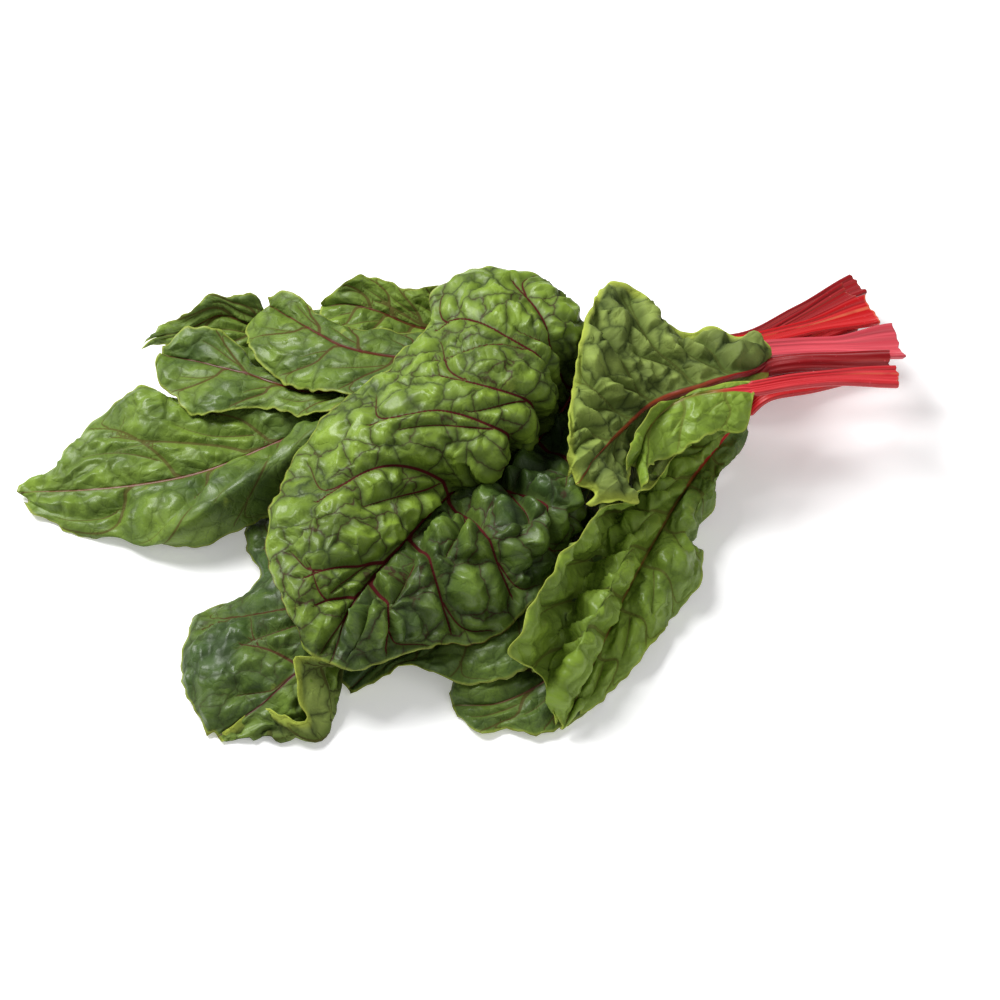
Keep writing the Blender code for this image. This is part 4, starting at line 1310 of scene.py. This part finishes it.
class LeafSkin:
    """The nodes that paint one leaf, from what is stored at its points."""

    def __init__(self, maker, look, sizes, colours):
        self.maker = maker
        self.look = look
        self.colours = colours
        place = maker.node("ShaderNodeAttribute", {"attribute_name": "place"})
        self.place = place.outputs["Vector"]
        self.rib, self.rim, self.tone, self.under, self.along, self.across = (
            stored(maker, name) for name in ("rib", "rim", "tone", "under", "along", "across"))
        stem, twig = (
            maker.math("ABSOLUTE", stored(maker, name)) - stored(maker, name + "_half")
            for name in ("stem", "twig"))
        self.vein = maker.math("MAXIMUM", maker.math("MINIMUM", stem, twig),
                               stored(maker, "vein_gap") - MESH_STEP)
        near = maker.math("MINIMUM", self.vein, self.rib)
        self.parts = crinkles(
            maker, self.place, near, sizes.pillow_size / MM, sizes.pucker_size / MM)
        # How deep a point lies in a crease; it sets the painted crease shade, and the roughness
        # and coat.
        self.sunken = 1.0 - self.parts["pillow"]
        self.blotch = self.noise(BLOTCH_SCALE, 3.0)
        self.speckle = self.noise(SPECKLE_SCALE, 3.0)
        lengthwise, crosswise = STRIPE_SCALE
        striped = maker.node("ShaderNodeCombineXYZ", inputs={
            0: self.along * lengthwise, 1: self.across * crosswise})
        self.stripe = Value(maker, maker.noise(striped.outputs[0], 1.0, 3.0).outputs[0])
        self.red = maker.ease(self.vein, *VEIN_PAINT) * (0.25 + 0.75 * look.redness)
        self.ribbed = maker.ease(self.rib, *RIB_PAINT)

    def noise(self, scale, detail):
        """Soft noise over the leaf, from 0 to 1."""
        return Value(self.maker, self.maker.noise(self.place, scale, detail).outputs[0])

    def upper_green(self):
        """Deep and pale green in blotches, with shade painted into the creases and faintly off the
        lumps.
        """
        maker, colours = self.maker, self.colours
        # Paleness from blotches, speckles and the tone, which is partly painted light and shade.
        paleness = (self.blotch - 0.5) * 1.2 + self.tone + (self.speckle - 0.5) * 0.3
        green = maker.mix(
            maker.ease(paleness, 0.0, 1.0), colours.deep_green, colours.young_green)
        # Painted shade: darker in the creases and a little between the lumps, more on leaves with
        # redder veins.
        low = self.sunken * 0.75 + (1.0 - self.parts["lump"]) * 0.12
        return maker.mix(
            low * (0.35 + 0.65 * self.look.redness), green, colours.dark_green_and_crease_shade)

    def under_green(self):
        """Matte grey-green, with shade painted into the creases, and darker in blotches."""
        maker, colours = self.maker, self.colours
        green = maker.mix(
            self.speckle * 0.4 + self.tone * 0.3, colours.under_green, colours.young_green)
        # Painted shade in the creases.
        green = maker.mix(self.sunken * 0.85, green, colours.dark_green_and_crease_shade)
        return maker.mix(maker.ease(self.blotch, 0.55, 0.35) * 0.45, green, colours.dark_green_and_crease_shade)

    def blade(self):
        """Both faces with their yellowish rim, partly a painted glow of light through it, which
        blushes in places, and dry patches.
        """
        maker, colours = self.maker, self.colours
        green = maker.mix(self.under * 0.85, self.upper_green(), self.under_green())
        # The pale rim, wider below, is partly the leaf's own colour and partly a painted glow of
        # light through the edge.
        pale = (maker.ease(self.rim, *RIM_PAINT) * 0.55
                + maker.ease(self.rim, *UNDER_RIM_PAINT) * 0.6 * self.under)
        green = maker.mix(pale, green, colours.yellow_green_and_glow)
        blush = maker.ease(self.rim, *BLUSH_PAINT) * maker.ease(self.blotch, 0.45, 0.6)
        green = maker.mix(blush * self.look.redness * 0.8, green, colours.vein_red)
        dry = maker.ease(self.noise(DRY_SCALE, 4.0), 0.66, 0.8)
        return maker.mix(dry * 0.3, green, colours.yellow_green_and_glow)

    def veined_blade(self):
        """The blade with red veins, dark threads in its creases and a pale halo by each vein."""
        maker, colours = self.maker, self.colours
        halo = maker.ease(self.vein, *HALO_PAINT) * 0.12
        green = maker.mix(halo, self.blade(), colours.young_green)
        thread = (maker.ease(self.parts["crease"], *THREAD_PAINT)
                  * maker.ease(self.blotch, 0.35, 0.55))
        thread_colour = lerp(colours.vein_red, colours.dark_green_and_crease_shade, 0.4)
        green = maker.mix(thread * self.look.redness ** 2 * 0.7, green, thread_colour)
        return maker.mix(self.red * (1.0 - self.under * 0.7), green, colours.vein_red)

    def stalk(self):
        """Ribbed red with pink flecks and streaks, partly painted shade and highlight of fine
        ribs; a scarlet one has an orange line, partly a painted highlight on its ridge, and an
        orange cut.
        """
        maker, colours = self.maker, self.colours
        red = stalk_colour(colours, self.look.stalk)
        # Dark and faintly pale streaks along the stalk: partly its own striped colour and partly
        # painted shade and highlight of fine ribs.
        stripe_and_rib_shade = maker.ease(self.stripe, 0.35, 0.7)
        skin = maker.mix(
            stripe_and_rib_shade, lerp(red, colours.stalk_dark, 0.35), lerp(red, (1, 1, 1), 0.04))
        fleck = maker.ease(self.noise(FLECK_SCALE, 1.0), 0.7, 0.78)
        skin = maker.mix(fleck * 0.35, skin, colours.stalk_pink)
        scarlet = 1.0 - abs(self.look.stalk * 2.0 - 1.0)
        # The orange line along the ridge, partly a painted highlight.
        aside = maker.math("ABSOLUTE", self.across - ORANGE_GLINT_PLACE)
        line = maker.ease(aside, *ORANGE_GLINT_PAINT) * maker.ease(self.along, -0.55, -0.8)
        line = line * maker.ease(self.blotch, 0.4, 0.5)
        orange = maker.math("MAXIMUM", maker.ease(self.along, -0.994, -0.999), line)
        return maker.mix(orange * scarlet ** 2 * 0.8, skin, colours.cut_and_glint_orange)

    def stalk_and_midrib(self):
        """The stalk's red, which darkens along the midrib to the tip."""
        maker, colours = self.maker, self.colours
        old = maker.ease(self.along, 0.0, 0.35)
        skin = maker.mix(
            old * min(1.0, 0.5 + self.look.redness), self.stalk(), colours.vein_red)
        raised = lerp(colours.stalk_dark, colours.stalk_scarlet, 0.5)
        return maker.mix(old * self.under * 0.7, skin, raised)

    def colour(self):
        """The whole leaf; the midrib of a leaf with green veins fades into the blade."""
        faded = self.maker.ease(self.along, 0.1, 0.3) * max(0.0, 0.8 - 1.4 * self.look.redness)
        return self.maker.mix(
            self.ribbed * (1.0 - faded), self.veined_blade(), self.stalk_and_midrib())

    def roughness(self):
        """Rougher below, in creases and on veins."""
        blade = 0.4 + 0.2 * self.under + self.speckle * 0.14 + self.red * 0.2 + self.sunken * 0.25
        return blade + self.ribbed * (0.36 - blade)

    def coat(self):
        """A thin waxy shine on the upper face, lost in creases and on veins."""
        reddest = self.maker.math("MAXIMUM", self.red, self.ribbed)
        return ((1.0 - self.under) * (1.0 - reddest * 0.7) * (1.0 - self.sunken * 0.9)) * 0.24

    def bump(self):
        """Wrinkles and pores too small for the mesh, and the stripes of the stalk."""
        parts = self.parts
        relief = parts["pillow"] * 0.5 + parts["pucker"] * 0.35 + parts["fold"] * 0.3
        relief = relief + self.noise(PORE_SCALE, 2.0) * 0.1
        relief = relief * (1.0 - self.ribbed) + self.stripe * 0.3 * self.ribbed
        node = self.maker.node("ShaderNodeBump", inputs={
            "Strength": 0.9, "Distance": MM, "Height": relief})
        return node.outputs[0]


def leaf_material(name, look, sizes, colours):
    """Waxy quilted green with red veins above, matte and paler below, on a ribbed red stalk."""
    material = bpy.data.materials.new(name + "_skin")
    material.use_nodes = True
    material.node_tree.nodes.clear()
    maker = Maker(material.node_tree)
    skin = LeafSkin(maker, look, sizes, colours)
    shader = maker.node("ShaderNodeBsdfPrincipled", inputs={
        "Base Color": skin.colour(), "Roughness": skin.roughness(), "Normal": skin.bump(),
        "Coat Weight": skin.coat(), "Coat Roughness": 0.2, "Specular IOR Level": 0.25})
    maker.node("ShaderNodeOutputMaterial", inputs={"Surface": shader.outputs[0]})
    return material


def make_leaf(context, name):
    """Builds one leaf, which stands for the CAD solid of the same name."""
    sizes, colours = context.scene.chard_sizes, context.scene.chard_colours
    sheet = laid_sheets()[name]
    obj = add_object(context, name.replace("leaf_", "chard_leaf_"), sheet_mesh(sheet))
    material = leaf_material(name, sheet.look, sizes, colours)
    obj.data.materials.append(material)
    modifier = obj.modifiers.new("Relief", "NODES")
    modifier.node_group = shared_relief()
    values = {label: getattr(sizes, key) for label, key in RELIEF_INPUTS}
    values.update({"Turned": float(sheet.leaf.turned), "Sink": SINK, "Floor Gap": FLOOR_GAP,
                   "Material": material})
    set_inputs(modifier, values)
    graph = context.evaluated_depsgraph_get()
    mesh = bpy.data.meshes.new_from_object(
        obj.evaluated_get(graph), preserve_all_data_layers=True, depsgraph=graph)
    obj.modifiers.clear()
    obj.data = mesh
    mesh.shade_smooth()
    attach(obj, "root")
    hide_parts(name)
    return obj


class ChardLeaves:
    """Shared by the operators that make leaves."""

    leaves = ()

    def execute(self, context):
        """Makes each leaf of the group."""
        for name in self.leaves:
            make_leaf(context, name)
        return {"FINISHED"}


class CHARD_OT_low_leaves(ChardLeaves, bpy.types.Operator):
    """Make the three leaves that lie lowest in front"""

    bl_idname = "chard.low_leaves"
    bl_label = "Low Front Leaves"
    leaves = ("leaf_front_low", "leaf_center_low", "leaf_front_left")


class CHARD_OT_back_leaves(ChardLeaves, bpy.types.Operator):
    """Make the leaves behind and to the left"""

    bl_idname = "chard.back_leaves"
    bl_label = "Back and Left Leaves"
    leaves = ("leaf_far_left", "leaf_back_left", "leaf_back_dark", "leaf_back_mid",
              "leaf_left_upper")


class CHARD_OT_large_leaf(ChardLeaves, bpy.types.Operator):
    """Make the large crinkled leaf in the middle"""

    bl_idname = "chard.large_leaf"
    bl_label = "Large Center Leaf"
    leaves = ("leaf_center_large",)


class CHARD_OT_right_leaves(ChardLeaves, bpy.types.Operator):
    """Make the crumpled leaf, the turned leaf and the small leaf at the right"""

    bl_idname = "chard.right_leaves"
    bl_label = "Right-Hand Leaves"
    leaves = ("leaf_front_right", "leaf_turned_over", "leaf_front_small")


def floor_material(colour):
    """Matte, faintly mottled white."""
    material = bpy.data.materials.new("chard_floor")
    material.use_nodes = True
    material.node_tree.nodes.clear()
    maker = Maker(material.node_tree)
    place = maker.node("ShaderNodeTexCoord").outputs["Object"]
    mottle = Value(maker, maker.noise(place, 3.0).outputs[0])
    paint = maker.mix(mottle * 0.1, tuple(colour), lerp(colour, (0.8, 0.8, 0.8), 0.5))
    shader = maker.node("ShaderNodeBsdfPrincipled", inputs={
        "Base Color": paint, "Roughness": 0.9, "Specular IOR Level": 0.1,
        "Emission Color": paint, "Emission Strength": FLOOR_GLOW})
    maker.node("ShaderNodeOutputMaterial", inputs={"Surface": shader.outputs[0]})
    return material


def add_object(context, name, data):
    """A new object in the scene."""
    obj = bpy.data.objects.new(name, data)
    context.scene.collection.objects.link(obj)
    return obj


def add_lamp(context, name, place, size, power):
    """A soft square lamp that points at the bunch."""
    lamp = bpy.data.lights.new(name, "AREA")
    lamp.size = size
    lamp.energy = power
    obj = add_object(context, name, lamp)
    middle = (CAD_BOX[0] + CAD_BOX[1]) / 2
    obj.location = place
    obj.rotation_euler = (middle - obj.location).to_track_quat("-Z", "Y").to_euler()


def add_floor(context):
    """A wide plain floor."""
    half = FLOOR_HALF
    mesh = bpy.data.meshes.new("chard_floor")
    corners = [(-half, -half, 0), (half, -half, 0), (half, half, 0), (-half, half, 0)]
    mesh.from_pydata(corners, [], [(0, 1, 2, 3)])
    mesh.materials.append(floor_material(context.scene.chard_colours.floor))
    add_object(context, "chard_floor", mesh)


def add_sky(scene):
    """An even white sky."""
    scene.world = bpy.data.worlds.new("chard_world")
    scene.world.use_nodes = True
    sky = scene.world.node_tree.nodes["Background"]
    sky.inputs["Color"].default_value = (1.0, 1.0, 1.0, 1.0)
    sky.inputs["Strength"].default_value = SKY_STRENGTH
    scene.view_settings.view_transform = "Standard"


def add_camera(context):
    """A long-lensed camera that looks down at the bunch from the front."""
    camera = bpy.data.cameras.new("chard_camera")
    camera.lens = CAMERA_LENS
    camera.sensor_width = CAMERA_SENSOR
    camera.clip_start = CAMERA_CLIP
    obj = add_object(context, "chard_camera", camera)
    tilt = math.radians(CAMERA_ELEVATION)
    obj.location = (CAMERA_AIM[0], CAMERA_AIM[1] - CAMERA_DISTANCE * math.cos(tilt),
                    CAMERA_AIM[2] + CAMERA_DISTANCE * math.sin(tilt))
    obj.rotation_euler = (math.pi / 2 - tilt, 0.0, 0.0)
    context.scene.camera = obj


class CHARD_OT_stage(bpy.types.Operator):
    """Make the floor, the lights and the camera"""

    bl_idname = "chard.stage"
    bl_label = "Floor, Lights and Camera"

    def execute(self, context):
        """Makes everything round the bunch."""
        add_floor(context)
        for name, place, size, power in LAMPS:
            add_lamp(context, name, place, size, power)
        add_sky(context.scene)
        add_camera(context)
        return {"FINISHED"}


class CHARD_PT_panel(bpy.types.Panel):
    """Lists the parts of the bunch"""

    bl_idname = "CHARD_PT_panel"
    bl_label = "Swiss Chard Bunch"
    bl_space_type = "VIEW_3D"
    bl_region_type = "UI"
    bl_category = "Chard"

    def draw(self, context):
        column = self.layout.column()
        for operator in OPERATORS:
            column.operator(operator.bl_idname)
        for group in (context.scene.chard_sizes, context.scene.chard_colours):
            box = self.layout.box()
            for name in group.bl_rna.properties.keys():
                if name not in ("rna_type", "name"):
                    box.prop(group, name)


OPERATORS = (CHARD_OT_low_leaves, CHARD_OT_back_leaves, CHARD_OT_large_leaf,
             CHARD_OT_right_leaves, CHARD_OT_stage)
CLASSES = (ChardSizes, ChardColours) + OPERATORS + (CHARD_PT_panel,)


def register():
    for cls in CLASSES:
        bpy.utils.register_class(cls)
    bpy.types.Scene.chard_sizes = PointerProperty(type=ChardSizes)
    bpy.types.Scene.chard_colours = PointerProperty(type=ChardColours)


def unregister():
    del bpy.types.Scene.chard_colours
    del bpy.types.Scene.chard_sizes
    for cls in reversed(CLASSES):
        bpy.utils.unregister_class(cls)


def main():
    register()
    bpy.ops.chard.low_leaves()
    bpy.ops.chard.back_leaves()
    bpy.ops.chard.large_leaf()
    bpy.ops.chard.right_leaves()
    bpy.ops.chard.stage()


if __name__ == "__main__":
    main()
